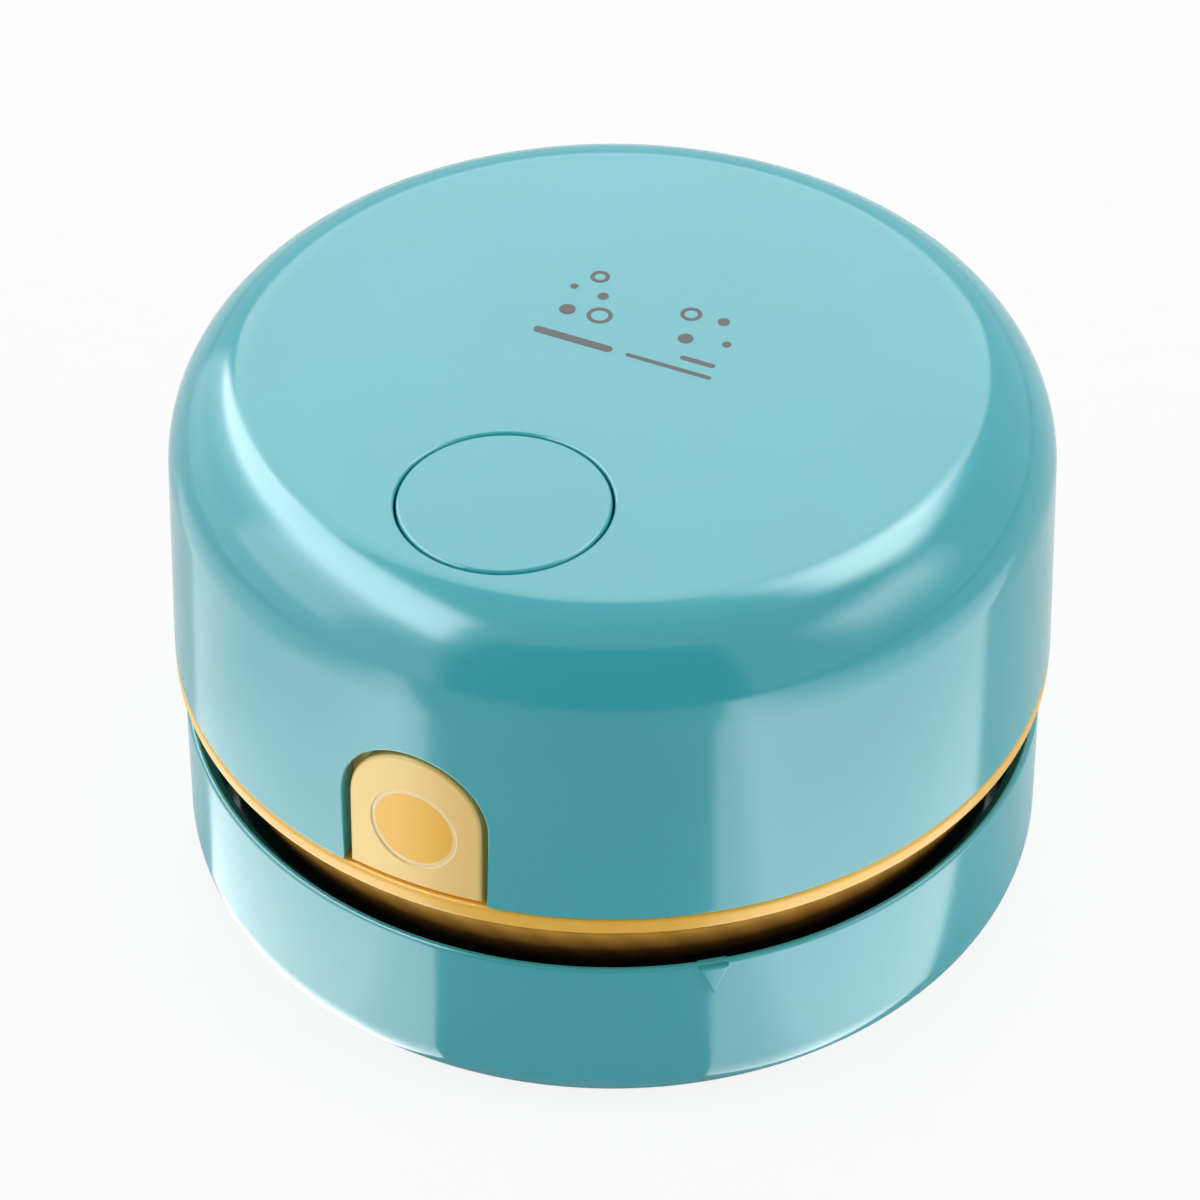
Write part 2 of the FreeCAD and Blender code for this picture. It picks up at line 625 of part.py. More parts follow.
def upperHousing(doc, d, f):
    piece = Piece(doc, "upper_housing")
    middle = f.shoulderRadius - f.shoulderArc
    innerArc = f.shoulderArc - d.housingWall
    rise = f.ceiling - f.shoulder
    piece.revolve(
        [
            (d.bandRadius - d.housingWall, f.wallLow),
            (d.bandRadius, f.wallLow),
            (f.shoulderRadius, f.shoulder),
            (middle + f.shoulderArc * sine(d.shoulderBreak), f.top, (f.shoulderArc, 1)),
            (0, f.top),
            (0, f.ceiling),
            (middle + root(innerArc * innerArc - rise * rise), f.ceiling),
            (f.shoulderRadius - d.housingWall, f.shoulder, (innerArc, -1)),
        ]
    )
    flat = middle + f.shoulderArc * sine(d.shoulderBreak)
    piece.fillet(d.breakBlend, circleAt(flat, f.top))
    piece.chamfer(d.edgeBreak, circleAt(d.bandRadius, f.wallLow))
    # guide well of the power button
    well = drawCircle(piece.sketch(lift=f.wellLow), 0, -f.buttonOffset, f.holeRadius + d.skirtWall)
    piece.pad(well, d.wellDepth + d.housingWall / 2)
    hole = drawCircle(piece.sketch(lift=f.wellLow), 0, -f.buttonOffset, f.holeRadius)
    piece.cut(hole, (d.wellDepth + d.housingWall) * 2, both=True)
    piece.chamfer(d.edgeBreak, circleAt(f.holeRadius, f.top))
    # screw posts and board bosses hang from the ceiling
    into = f.ceiling + d.housingWall / 2
    posts = drawPosts(piece.sketch(lift=f.mountTop), f.posts(d), d.postSize)
    piece.pad(posts, into - f.mountTop)
    bosses = drawPosts(piece.sketch(lift=f.boardTop), f.boardBosses(d), d.boardBossSize)
    piece.pad(bosses, into - f.boardTop)
    bores = drawPosts(piece.sketch(lift=f.mountTop), f.posts(d), d.frameScrewRadius)
    piece.cut(bores, f.screwSeat + d.frameScrewLong + d.headTall - f.mountTop)
    bores = drawPosts(piece.sketch(lift=f.boardTop), f.boardBosses(d), d.smallScrewRadius)
    piece.cut(bores, d.smallScrewLong)
    # stiffening ribs above the neck
    rib = drawSector(
        piece.sketch(lift=f.neckTop + d.ribGap),
        f.shoulderRadius - d.housingWall - d.ribReach,
        f.shoulderRadius - d.housingWall / 3,
        FRONT + HALF_TURN / d.ribCount,
        d.ribSweep,
    )
    piece.ring(piece.pad(rib, d.ribTall), d.ribCount)
    piece.cut(drawArchCut(piece.sketch("XZ_Plane"), d, f), d.bandRadius + d.housingWall)
    slot = piece.sketch("XZ_Plane")
    drawSlot(slot, d.portWidth + d.portGap * 2, d.portTall + d.portGap * 2, f.portLevel)
    drawCircle(slot, d.lightOffset, f.portLevel, d.lightRadius)
    piece.cut(slot, d.bandRadius + d.housingWall, backward=True)


def powerButton(doc, d, f):
    piece = Piece(doc, "power_button").move(y=-f.buttonOffset)
    skirtIn = f.buttonRadius - d.skirtWall
    snapTop = f.wellLow - d.buttonGap
    capLow = f.top - d.buttonCap
    piece.revolve(
        [
            (0, f.stemLow),
            (d.stemRadius, f.stemLow),
            (d.stemRadius, capLow),
            (skirtIn, capLow),
            (skirtIn, snapTop - d.snapTall),
            (f.buttonRadius + d.snapReach, snapTop - d.snapTall),
            (f.buttonRadius + d.snapReach, snapTop),
            (f.buttonRadius, snapTop),
            (f.buttonRadius, f.top),
            (0, f.top),
        ]
    )
    piece.chamfer(d.edgeBreak, circleAt(f.buttonRadius, f.top))


def midFrame(doc, d, f):
    piece = Piece(doc, "mid_frame")
    sleeveIn = f.sleeveRadius - d.sleeveWall
    bandIn = d.bandRadius - d.bandThick
    piece.revolve(
        [
            (d.eyeRadius, f.deckLow),
            (sleeveIn, f.deckLow),
            (sleeveIn, f.sleeveLow),
            (f.sleeveRadius, f.sleeveLow),
            (f.sleeveRadius, f.deckLow),
            (bandIn, f.deckLow),
            (bandIn, f.bandLow),
            (d.bandRadius, f.bandLow),
            (d.bandRadius, f.wallLow),
            (f.neckOut, f.wallLow),
            (f.neckOut, f.neckTop),
            (f.neckIn, f.neckTop),
            (f.neckIn, f.wallLow),
            (d.eyeRadius, f.wallLow),
        ]
    )
    piece.chamfer(d.eyeBreak, circleAt(d.eyeRadius, f.deckLow))
    for level in (f.bandLow, f.wallLow):
        piece.chamfer(d.edgeBreak, circleAt(d.bandRadius, level))
    # air windows between sleeve and neck
    vent = drawSector(
        piece.sketch(lift=f.deckLow + d.deckThick / 2),
        f.sleeveRadius + d.ventEdge,
        f.neckIn - d.ventEdge,
        FRONT + HALF_TURN / d.ventCount,
        d.ventSweep,
    )
    piece.ring(piece.cut(vent, d.deckThick * 2, both=True), d.ventCount)
    # screw posts, bored from below
    piece.pad(drawPosts(piece.sketch(lift=f.wallLow), f.posts(d), d.postSize), f.mountLow - f.wallLow)
    piece.cut(drawPosts(piece.sketch(lift=f.deckLow), f.posts(d), f.screwHole), f.mountLow - f.deckLow)
    heads = drawPosts(piece.sketch(lift=f.deckLow), f.posts(d), f.screwHole * d.headRatio)
    piece.cut(heads, f.screwSeat - f.deckLow)
    # pocket in the sleeve for the pawl
    boss = drawSector(
        piece.sketch(lift=f.pocketLow - d.sleeveWall),
        f.pocketIn - d.sleeveWall,
        f.sleeveRadius - d.sleeveWall / 2,
        FRONT,
        d.pocketSweep + d.lugSweep / 2,
    )
    piece.pad(boss, f.wallLow - f.pocketLow + d.sleeveWall)
    pocket = drawSector(piece.sketch(lift=f.pocketLow), f.pocketIn, f.neckIn, FRONT, d.pocketSweep)
    piece.cut(pocket, f.neckTop - f.pocketLow)
    window = drawSector(
        piece.sketch(lift=f.wallLow), f.neckIn - d.neckWall, f.neckOut + d.neckWall, FRONT, d.neckWindow
    )
    piece.cut(window, d.neckTall * 2)
    # bayonet lugs
    lug = drawSector(
        piece.sketch(lift=f.toothTop - d.lugTall),
        f.sleeveRadius - d.sleeveWall / 2,
        f.lugOut,
        FRONT + d.lugTurn,
        d.lugSweep,
    )
    piece.ring(piece.pad(lug, d.lugTall), d.lugCount)
    # seat and peg of the release spring
    seat = piece.sketch(lift=f.wallLow)
    drawBox(seat, -d.seatHalf, -f.seatFace, d.seatHalf, d.seatThick - f.seatFace)
    piece.pad(seat, d.springLift + d.tabCoil + d.tabWire)
    peg = drawCircle(piece.sketch("XZ_Plane", lift=f.seatFace), 0, f.springLevel, d.pegRadius)
    piece.pad(peg, d.pegReach)


def slopedRing(piece, d, f, inset, outward):
    """Cut away all that lies outside, or inside, a cone parallel to the housing's wall."""
    low, high = f.wallAt(d, f.bandLow) - inset, f.shoulderRadius - inset
    far = d.bandRadius * 2 if outward else asLength(0)
    points = [(low, f.bandLow), (far, f.bandLow), (far, f.shoulder), (high, f.shoulder)]
    piece.revolve(points if outward else points[::-1], cut=True)


def releaseButton(doc, d, f):
    piece = Piece(doc, "release_button")
    flangeOut = d.housingWall + d.slideGap
    # flange behind the wall
    flange = drawArch(
        piece.sketch("XZ_Plane", lift=f.sleeveRadius),
        f.tabWidth + d.tabFlange * 2,
        f.tabLow,
        f.tabHigh + d.tabFlange,
    )
    piece.pad(flange, d.bandRadius - f.sleeveRadius)
    slopedRing(piece, d, f, flangeOut, True)
    slopedRing(piece, d, f, flangeOut + d.tabFlange, False)
    # plate that fills the arch
    start = f.shoulderRadius - flangeOut - d.tabFlange / 3
    plate = drawArch(piece.sketch("XZ_Plane", lift=start), f.tabWidth, f.tabLow, f.tabHigh)
    piece.pad(plate, d.bandRadius - start)
    slopedRing(piece, d, f, d.tabRecess, True)
    markFace = f.wallAt(d, f.wallLow + d.markLevel) - d.tabRecess - d.markDepth
    mark = drawCircle(piece.sketch("XZ_Plane", lift=markFace), 0, f.wallLow + d.markLevel, d.markRadius)
    piece.cut(mark, d.markDepth * 2)
    # pawl: bridge, arm and tooth
    bridgeLow = f.tabLow + d.tabStart
    sweep = d.pawlHalf * 2
    bridge = drawSector(piece.sketch(lift=bridgeLow), f.armIn, start + d.tabFlange / 3, FRONT, sweep)
    piece.pad(bridge, d.pawlBridge)
    arm = drawSector(piece.sketch(lift=f.toothLow), f.armIn, f.armOut, FRONT, sweep)
    piece.pad(arm, bridgeLow + d.pawlBridge - f.toothLow)
    tooth = drawSector(
        piece.sketch(lift=f.toothLow), f.armOut - d.pawlThick / 2, f.lipIn + d.pawlBite, FRONT, sweep
    )
    piece.pad(tooth, d.toothTall)
    # peg inside the spring
    back = f.flangeIn(d, f.springLevel)
    peg = drawCircle(
        piece.sketch("XZ_Plane", lift=back - d.pegReach), 0, f.springLevel, d.pegRadius
    )
    piece.pad(peg, d.pegReach + d.tabFlange / 2)


def coil(doc, name, radius, wire, length, turns, base, direction):
    """Compression spring as a ruled loft of small six-sided sections along a helix."""
    steps, sides = 12 * int(turns.value), 6
    rise = (length.value - 2.0 * wire.value) / steps
    sections = []
    for i in range(steps + 1):
        angle = 2.0 * math.pi * turns.value * i / steps
        out = FreeCAD.Vector(math.cos(angle), math.sin(angle), 0)
        centre = out * radius.value + FreeCAD.Vector(0, 0, wire.value + rise * i)
        corners = []
        for k in range(sides + 1):
            around = 2.0 * math.pi * k / sides
            offset = out * math.cos(around) + FreeCAD.Vector(0, 0, math.sin(around))
            corners.append(centre + offset * wire.value)
        sections.append(Part.makePolygon(corners))
    spring = doc.addObject("Part::Feature", name)
    spring.Label = name
    spring.Shape = Part.makeLoft(sections, True, True)
    turn = FreeCAD.Rotation(FreeCAD.Vector(0, 0, 1), direction)
    spring.Placement = FreeCAD.Placement(FreeCAD.Vector(*(p.value for p in base)), turn)


def springs(doc, d, f):
    up, forward = FreeCAD.Vector(0, 0, 1), FreeCAD.Vector(0, -1, 0)
    place = (asLength(0), -f.buttonOffset, f.switchTop)
    tall = f.top - d.buttonCap - f.switchTop
    coil(doc, "button_spring", d.buttonCoil, d.buttonWire, tall, d.springTurns, place, up)
    place = (asLength(0), -f.seatFace, f.springLevel)
    coil(doc, "release_spring", d.tabCoil, d.tabWire, d.seatSet, d.springTurns, place, forward)


def powerSwitch(doc, d, f):
    piece = Piece(doc, "power_switch").move(y=-f.buttonOffset)
    side = d.switchSide / 2
    piece.pad(drawBox(piece.sketch(lift=f.boardTop), -side, -side, side, side), d.switchTall)
    bore = drawCircle(piece.sketch(lift=f.switchTop), 0, 0, d.plungerRadius + d.shaftFit)
    piece.cut(bore, d.plungerSunk + d.buttonTravel + d.slideGap, backward=True)
    plunger = Piece(doc, "switch_plunger").move(y=-f.buttonOffset)
    low = f.switchTop - d.plungerSunk
    plunger.pad(drawCircle(plunger.sketch(lift=low), 0, 0, d.plungerRadius), f.stemLow - low)


def switchBoard(doc, d, f):
    piece = Piece(doc, "switch_board")
    x, y = f.boardLong / 2, d.boardDeep / 2
    outline = piece.sketch(lift=f.boardTop - d.boardThick)
    drawBox(outline, -x, -y - f.buttonOffset, x, y - f.buttonOffset)
    drawPosts(outline, f.boardBosses(d), d.smallScrewRadius + d.screwGap)
    piece.pad(outline, d.boardThick)


def motorMount(doc, d, f):
    piece = Piece(doc, "motor_mount")
    plate = drawCircle(piece.sketch(lift=f.mountLow), 0, 0, f.mountRadius)
    piece.pad(plate, d.mountThick)
    ears = drawPosts(piece.sketch(lift=f.mountLow), f.posts(d), d.postSize + d.earExtra)
    piece.pad(ears, d.mountThick)
    half = d.lightOffset + d.postSize
    tongue = drawBox(piece.sketch(lift=f.mountLow), -half, f.cellOffset, half, f.boardRear)
    piece.pad(tongue, d.mountThick)
    cup = piece.sketch(lift=f.mountTop)
    drawCircle(cup, 0, 0, f.motorRadius + d.motorFit + d.mouthWall)
    drawCircle(cup, 0, 0, f.motorRadius + d.motorFit)
    piece.pad(cup, d.cupTall)
    # battery saddles
    for side in (d.saddlePitch, -d.saddlePitch):
        foot = piece.sketch(lift=f.mountTop)
        drawBox(
            foot,
            side - d.saddleThick / 2,
            f.cellOffset - f.cellRadius,
            side + d.saddleThick / 2,
            f.cellOffset + f.cellRadius,
        )
        piece.pad(foot, d.cellLift + f.cellRadius / 2)
    bed = drawCircle(piece.sketch("YZ_Plane"), f.cellOffset, f.cellLevel, f.cellRadius)
    piece.cut(bed, f.cellLong, both=True)
    # bores: bush, frame screws, motor screws with sunk heads
    piece.cut(drawCircle(piece.sketch(lift=f.mountLow), 0, 0, d.bushRadius + d.motorFit), d.mountThick)
    piece.cut(drawPosts(piece.sketch(lift=f.mountLow), f.posts(d), f.screwHole), d.mountThick)
    pair = [(d.motorScrewPitch, asLength(0)), (-d.motorScrewPitch, asLength(0))]
    bore = d.smallScrewRadius + d.screwGap
    piece.cut(drawPosts(piece.sketch(lift=f.mountLow), pair, bore), d.mountThick)
    piece.cut(drawPosts(piece.sketch(lift=f.mountLow), pair, bore * d.headRatio), d.headTall)


def motor(doc, d, f):
    can = Piece(doc, "motor_can")
    bushTop = f.mountTop + d.bushDepth
    can.revolve(
        [
            (d.bushRadius, f.mountTop),
            (f.motorRadius, f.mountTop),
            (f.motorRadius, f.motorTop),
            (f.shaftHole, f.motorTop),
            (f.shaftHole, bushTop),
            (d.bushRadius, bushTop),
        ]
    )
    can.chamfer(d.eyeBreak, circleAt(f.motorRadius, f.motorTop))
    pair = [(d.motorScrewPitch, asLength(0)), (-d.motorScrewPitch, asLength(0))]
    can.cut(drawPosts(can.sketch(lift=f.mountTop), pair, d.smallScrewRadius), d.motorScrewLong)

    bush = Piece(doc, "motor_bearing")
    ring = bush.sketch(lift=f.mountTop - d.bushProud)
    drawCircle(ring, 0, 0, d.bushRadius)
    drawCircle(ring, 0, 0, f.shaftHole)
    bush.pad(ring, d.bushProud + d.bushDepth)

    cap = Piece(doc, "motor_end_cap")
    capTop = f.motorTop + d.motorCap
    cap.revolve(
        [
            (f.shaftHole, f.motorTop),
            (f.motorRadius - d.eyeBreak, f.motorTop),
            (f.motorRadius - d.motorCap, capTop),
            (d.bushRadius, capTop),
            (d.bushRadius, capTop + d.shaftEnd),
            (f.shaftHole, capTop + d.shaftEnd),
        ]
    )
    shaftLow = f.plateLow - d.hubDrop - d.shaftEnd
    shaft = doc.addObject("Part::Cylinder", "motor_shaft")
    bind(shaft, "Radius", d.shaftRadius)
    bind(shaft, "Height", capTop + d.shaftEnd - shaftLow)
    bind(shaft, ".Placement.Base.z", shaftLow)

    tabs = []
    for side in (d.motorScrewPitch, -d.motorScrewPitch):
        tab = doc.addObject("Part::Box", "terminal")
        bind(tab, "Length", d.terminalWide)
        bind(tab, "Width", d.terminalThick)
        bind(tab, "Height", d.motorCap)
        bind(tab, ".Placement.Base.x", -d.terminalWide / 2)
        bind(tab, ".Placement.Base.y", side - d.terminalThick / 2)
        bind(tab, ".Placement.Base.z", capTop)
        tabs.append(tab)
    group(doc, "motor_terminals", tabs)


def drawBlade(sketch, d, f):
    """One blade from root to tip, both faces arcs that fall back against the turn."""
    half, lean = d.bladeThick / 2, d.bladeLean
    tip = f.fanRadius - d.bladeThick / 4
    x, y = tip * cosine(lean), -(tip * sine(lean))
    overX, overY = d.bladeThick * sine(lean) * d.tipRatio, d.bladeThick * cosine(lean) * d.tipRatio
    return drawOutline(
        sketch,
        [
            (d.bladeStart, -half),
            (x - overX, y - overY, (d.bladeArc, -1)),
            (x + overX, y + overY),
            (d.bladeStart, half, (d.bladeArc, 1)),
        ],
    )


def impeller(doc, d, f):
    piece = Piece(doc, "impeller")
    hubLow = f.plateLow - d.hubDrop
    piece.revolve(
        [
            (d.shaftRadius, hubLow),
            (d.hubRadius - d.bladeThick, hubLow),
            (d.hubRadius, hubLow + d.bladeThick),
            (d.bladeStart - d.bladeThick, f.plateLow, (d.bladeStart, -1)),
            (f.fanRadius, f.plateLow),
            (f.fanRadius, f.plateTop),
            (d.shaftRadius, f.plateTop),
        ]
    )
    blade = drawBlade(piece.sketch(lift=f.bladeLow), d, f)
    piece.ring(piece.pad(blade, d.bladeTall + d.backPlate / 2), d.bladeCount)
    below = f.bladeLow - d.bladeTaper / 8
    past = f.fanRadius + d.bladeThick
    taper = [(d.bladeStart, below), (past, below), (past, f.bladeLow + d.bladeTaper)]
    piece.revolve(taper, cut=True)


def battery(doc, d, f):
    along = FreeCAD.Rotation(FreeCAD.Vector(0, 1, 0), 90)
    bodies = []
    for name, radius, start, length in (
        ("cellCan", f.cellRadius, -(f.cellLong / 2), f.cellLong),
        ("cellNub", f.cellRadius / 3, f.cellLong / 2, d.nubReach),
    ):
        cylinder = doc.addObject("Part::Cylinder", name)
        cylinder.Placement = FreeCAD.Placement(FreeCAD.Vector(), along)
        bind(cylinder, "Radius", radius)
        bind(cylinder, "Height", length)
        bind(cylinder, ".Placement.Base.x", start)
        bind(cylinder, ".Placement.Base.y", f.cellOffset)
        bind(cylinder, ".Placement.Base.z", f.cellLevel)
        bodies.append(cylinder)
    cell = doc.addObject("Part::Fuse", "battery_cell")
    cell.Base, cell.Tool = bodies
    strips = []
    for start in (f.cellLong / 2 + d.nubReach, -(f.cellLong / 2) - d.stripThick):
        strip = doc.addObject("Part::Box", "strip")
        bind(strip, "Length", d.stripThick)
        bind(strip, "Width", f.cellRadius * 2 / 3)
        bind(strip, "Height", f.cellRadius)
        bind(strip, ".Placement.Base.x", start)
        bind(strip, ".Placement.Base.y", f.cellOffset - f.cellRadius / 3)
        bind(strip, ".Placement.Base.z", f.cellLevel - f.cellRadius / 2)
        strips.append(strip)
    group(doc, "battery_tabs", strips)


def charging(doc, d, f):
    board = Piece(doc, "charge_board")
    half = d.lightOffset + d.lightRadius
    front = f.portFace - d.portDeep - d.boardThick * 3
    board.pad(drawBox(board.sketch(lift=f.mountTop), -half, front, half, f.boardRear), d.boardThick)

    socket = Piece(doc, "charge_socket")
    shell = socket.sketch("XZ_Plane", lift=-f.portFace)
    drawSlot(shell, d.portWidth, d.portTall, f.portLevel)
    socket.pad(shell, d.portDeep)
    mouth = socket.sketch("XZ_Plane", lift=-f.portFace)
    drawSlot(mouth, d.portWidth - d.portGap * 2, d.portTall - d.portGap * 2, f.portLevel)
    socket.cut(mouth, d.portDeep - d.portGap * 3)
    tongue = socket.sketch("XZ_Plane", lift=-f.portFace + d.portGap * 2)
    drawBox(
        tongue, -d.portWidth / 3, f.portLevel - d.portGap, d.portWidth / 3, f.portLevel + d.portGap
    )
    socket.pad(tongue, d.portDeep - d.portGap * 4)

    pipe = Piece(doc, "charge_light").move(x=d.lightOffset)
    back = f.boardRear - d.portDeep / 3
    face = f.wallAt(d, f.portLevel) - d.lightInset
    pipe.pad(drawCircle(pipe.sketch("XZ_Plane", lift=-face), 0, f.portLevel, d.lightRadius), face - back)
    foot = drawBox(
        pipe.sketch(lift=f.mountTop + d.boardThick),
        -d.lightRadius,
        back,
        d.lightRadius,
        back + d.lightRadius * 2,
    )
    pipe.pad(foot, f.portLevel - f.mountTop - d.boardThick)


def screw(doc, d, x, y, seat, shank, length):
    """A screw standing on its head, shank upwards from the seat."""
    piece = Piece(doc, "screw").move(x=x, y=y)
    wide = shank * d.headRatio
    piece.revolve(
        [
            (0, seat - d.headTall),
            (wide, seat - d.headTall),
            (wide, seat),
            (shank, seat),
            (shank, seat + length),
            (0, seat + length),
        ]
    )
    return piece.body


def group(doc, name, members):
    """Equal small parts that share one node, as separate solids."""
    compound = doc.addObject("Part::Compound", name)
    compound.Links = members
    compound.Label = name


def screws(doc, d, f):
    sets = {
        "frame_screws": (f.posts(d), f.screwSeat, d.frameScrewRadius, d.frameScrewLong),
        "board_screws": (
            f.boardBosses(d),
            f.boardTop - d.boardThick,
            d.smallScrewRadius,
            d.smallScrewLong,
        ),
        "motor_screws": (
            [(d.motorScrewPitch, asLength(0)), (-d.motorScrewPitch, asLength(0))],
            f.mountLow + d.headTall,
            d.smallScrewRadius,
            d.motorScrewLong,
        ),
    }
    for name, (places, seat, shank, length) in sets.items():
        members = [screw(doc, d, x, y, seat, shank, length) for x, y in places]
        group(doc, name, members)


def dustCollar(doc, d, f):
    piece = Piece(doc, "dust_collar")
    wall = d.collarWall
    stepIn = f.collarAt(d, f.step) - wall - d.stepReach
    piece.revolve(
        [
            (stepIn, f.floorTop),
            (f.collarFootRadius, f.floorTop),
            (f.collarWaistRadius, f.waist),
            (f.collarTopRadius, f.collarTop),
            (f.collarTopRadius - wall, f.collarTop),
            (f.collarAt(d, f.lipTop) - wall, f.lipTop),
            (f.lipIn, f.lipTop),
            (f.lipIn, f.lipLow),
            (f.collarAt(d, f.lipLow) - wall, f.lipLow),
            (f.collarWaistRadius - wall, f.waist),
            (f.collarAt(d, f.step) - wall, f.step),
            (stepIn, f.step),
        ]
    )
    ledge = drawSector(
        piece.sketch(lift=f.lipLow), f.ledgeIn, f.lipIn + d.lockGap, FRONT + d.lugTurn, d.lugSweep
    )
    piece.ring(piece.pad(ledge, d.lipTall), d.lugCount)


def baseCup(doc, d, f):
    piece = Piece(doc, "base_cup")
    # triangle mark on the rim, turned away from the front by the twist
    face = f.rimRadius + d.arrowProud
    arrow = piece.sketch("XZ_Plane", turn=d.twist)
    half = d.arrowWide / 2
    drawOutline(arrow, [(0, f.rim - d.arrowTall), (half, f.rim), (-half, f.rim)])
    piece.pad(arrow, face)
    inside = f.rimRadius - d.baseWall / 2
    over = f.rim + d.edgeBreak
    piece.revolve([(0, f.floorTop), (inside, f.floorTop), (inside, over), (0, over)], cut=True)
    # the cup: tangent rounding at the foot of its wall
    across = f.bellyRadius - f.baseFootRadius
    bend = (across * across + d.baseRound * d.baseRound) / (across * 2)
    belly = d.footGap + d.baseRound
    wellTop = d.footGap + d.brushDepth
    collarRim = f.collarFootRadius + d.slideGap
    piece.revolve(
        [
            (0, wellTop),
            (d.brushWell, wellTop),
            (d.brushWell, d.footGap),
            (f.baseFootRadius, d.footGap),
            (f.bellyRadius, belly, (bend, 1)),
            (f.rimRadius, f.rim),
            (f.rimRadius - d.baseWall, f.rim),
            (f.bellyRadius - d.baseWall, belly),
            (f.baseFootRadius - d.baseWall / 2, f.floorTop),
            (collarRim + d.ribReach, f.floorTop),
            (collarRim + d.ribReach, f.floorTop + d.baseWall),
            (collarRim, f.floorTop + d.baseWall),
            (collarRim, f.floorTop),
            (d.brushWell + d.baseFloor, f.floorTop),
            (d.brushWell + d.baseFloor - d.brushDepth, f.floorTop + d.brushDepth),
            (0, f.floorTop + d.brushDepth),
        ]
    )
    piece.chamfer(d.edgeBreak, circleAt(f.rimRadius - d.baseWall, f.rim))
    # chimney and suction mouth
    wall = d.mouthWall * 2
    chimney = drawSlot(piece.sketch(lift=f.floorTop), d.mouthLong + wall, d.mouthWide + wall, asLength(0))
    piece.pad(chimney, d.mouthLevel - f.floorTop)
    mouth = drawSlot(piece.sketch(lift=d.footGap), d.mouthLong, d.mouthWide, asLength(0))
    piece.cut(mouth, d.mouthLevel)
    # grooves for the bristle bars and recesses for the feet
    grooves = piece.sketch(lift=wellTop)
    for side in (d.brushOffset, -d.brushOffset):
        drawBar(grooves, d, side, d.brushBar)
    piece.cut(grooves, d.brushSunk)
    feet = drawPosts(piece.sketch(lift=d.footGap), footPlaces(f), d.footRadius)
    piece.cut(feet, d.footSunk)


def drawBar(sketch, d, side, width):
    x, y = d.brushLong / 2, width / 2
    return drawBox(sketch, -x, side - y, x, side + y)


def footPlaces(f):
    """The four glide feet, x and y."""
    away = f.footCircle * sine(HALF_TURN / 4)
    return [(away, away), (-away, away), (-away, -away), (away, -away)]


def underside(doc, d, f):
    wellTop = d.footGap + d.brushDepth
    for name, side in (("front", -d.brushOffset), ("rear", d.brushOffset)):
        bar = Piece(doc, "bristle_bar_" + name)
        bar.pad(drawBar(bar.sketch(lift=wellTop), d, side, d.brushBar), d.brushSunk)
        tuft = Piece(doc, "bristles_" + name)
        tuft.pad(drawBar(tuft.sketch(lift=d.tuftClear), d, side, d.tuftWide), wellTop - d.tuftClear)
    for number, (x, y) in enumerate(footPlaces(f), start=1):
        foot = Piece(doc, f"glide_foot_{number}").move(x=x, y=y)
        foot.pad(drawCircle(foot.sketch(), 0, 0, d.footRadius), d.footGap + d.footSunk)
        foot.chamfer(d.edgeBreak, circleAt(d.footRadius, asLength(0)))


def filterParts(doc, d, f):
    frame = Piece(doc, "filter_frame")
    frame.revolve(
        [(f.filterIn, f.step), (f.filterOut, f.step), (f.filterOut, f.filterTop), (f.filterIn, f.filterTop)]
    )
    hub = drawCircle(frame.sketch(lift=f.step), 0, 0, d.hubRadius)
    spoke = frame.sketch(lift=f.step)
    drawBox(spoke, 0, -d.spokeWide / 2, f.filterIn + d.filterRing / 2, d.spokeWide / 2)
    frame.ring(frame.pad(spoke, d.spokeTall), d.spokeCount)
    frame.pad(hub, d.spokeTall)
    for name, low, high in (
        ("filter_mesh", f.meshLow, f.meshLow + d.meshThick),
        ("filter_pad", f.meshLow + d.meshThick, f.filterTop),
    ):
        disc = Piece(doc, name)
        disc.pad(drawCircle(disc.sketch(lift=low), 0, 0, f.filterIn), high - low)


def sleeveSeal(doc, d, f):
    piece = Piece(doc, "sleeve_seal")
    low = f.sleeveLow - d.sealTall
    inner = f.sleeveRadius - d.sleeveWall
    piece.revolve(
        [
            (inner, f.sleeveLow - d.sealTall / 2),
            (f.sleeveRadius - d.sleeveWall / 2, low),
            (f.sleeveRadius, f.sleeveLow - d.sealTall / 2),
            (f.sleeveRadius, f.sleeveLow),
            (inner, f.sleeveLow),
        ]
    )


NODES = [
    "upper_housing",
    "power_button",
    "button_spring",
    "power_switch",
    "switch_plunger",
    "switch_board",
    "board_screws",
    "mid_frame",
    "release_button",
    "release_spring",
    "motor_mount",
    "motor_can",
    "motor_bearing",
    "motor_end_cap",
    "motor_terminals",
    "motor_screws",
    "motor_shaft",
    "impeller",
    "battery_cell",
    "battery_tabs",
    "charge_board",
    "charge_socket",
    "charge_light",
    "frame_screws",
    "sleeve_seal",
    "dust_collar",
    "filter_frame",
    "filter_mesh",
    "filter_pad",
    "base_cup",
    "bristle_bar_front",
    "bristle_bar_rear",
    "bristles_front",
    "bristles_rear",
    "glide_foot_1",
    "glide_foot_2",
    "glide_foot_3",
    "glide_foot_4",
]


def build():
    doc = FreeCAD.newDocument("desk_vacuum")
    sizes = Sheet(doc)
    doc.recompute()
    form = Form(sizes)
    makers = (
        upperHousing,
        powerButton,
        midFrame,
        releaseButton,
        springs,
        powerSwitch,
        switchBoard,
        motorMount,
        motor,
        impeller,
        battery,
        charging,
        screws,
        dustCollar,
        baseCup,
        underside,
        filterParts,
        sleeveSeal,
    )
    for make in makers:
        make(doc, sizes, form)
    doc.recompute()
    return doc


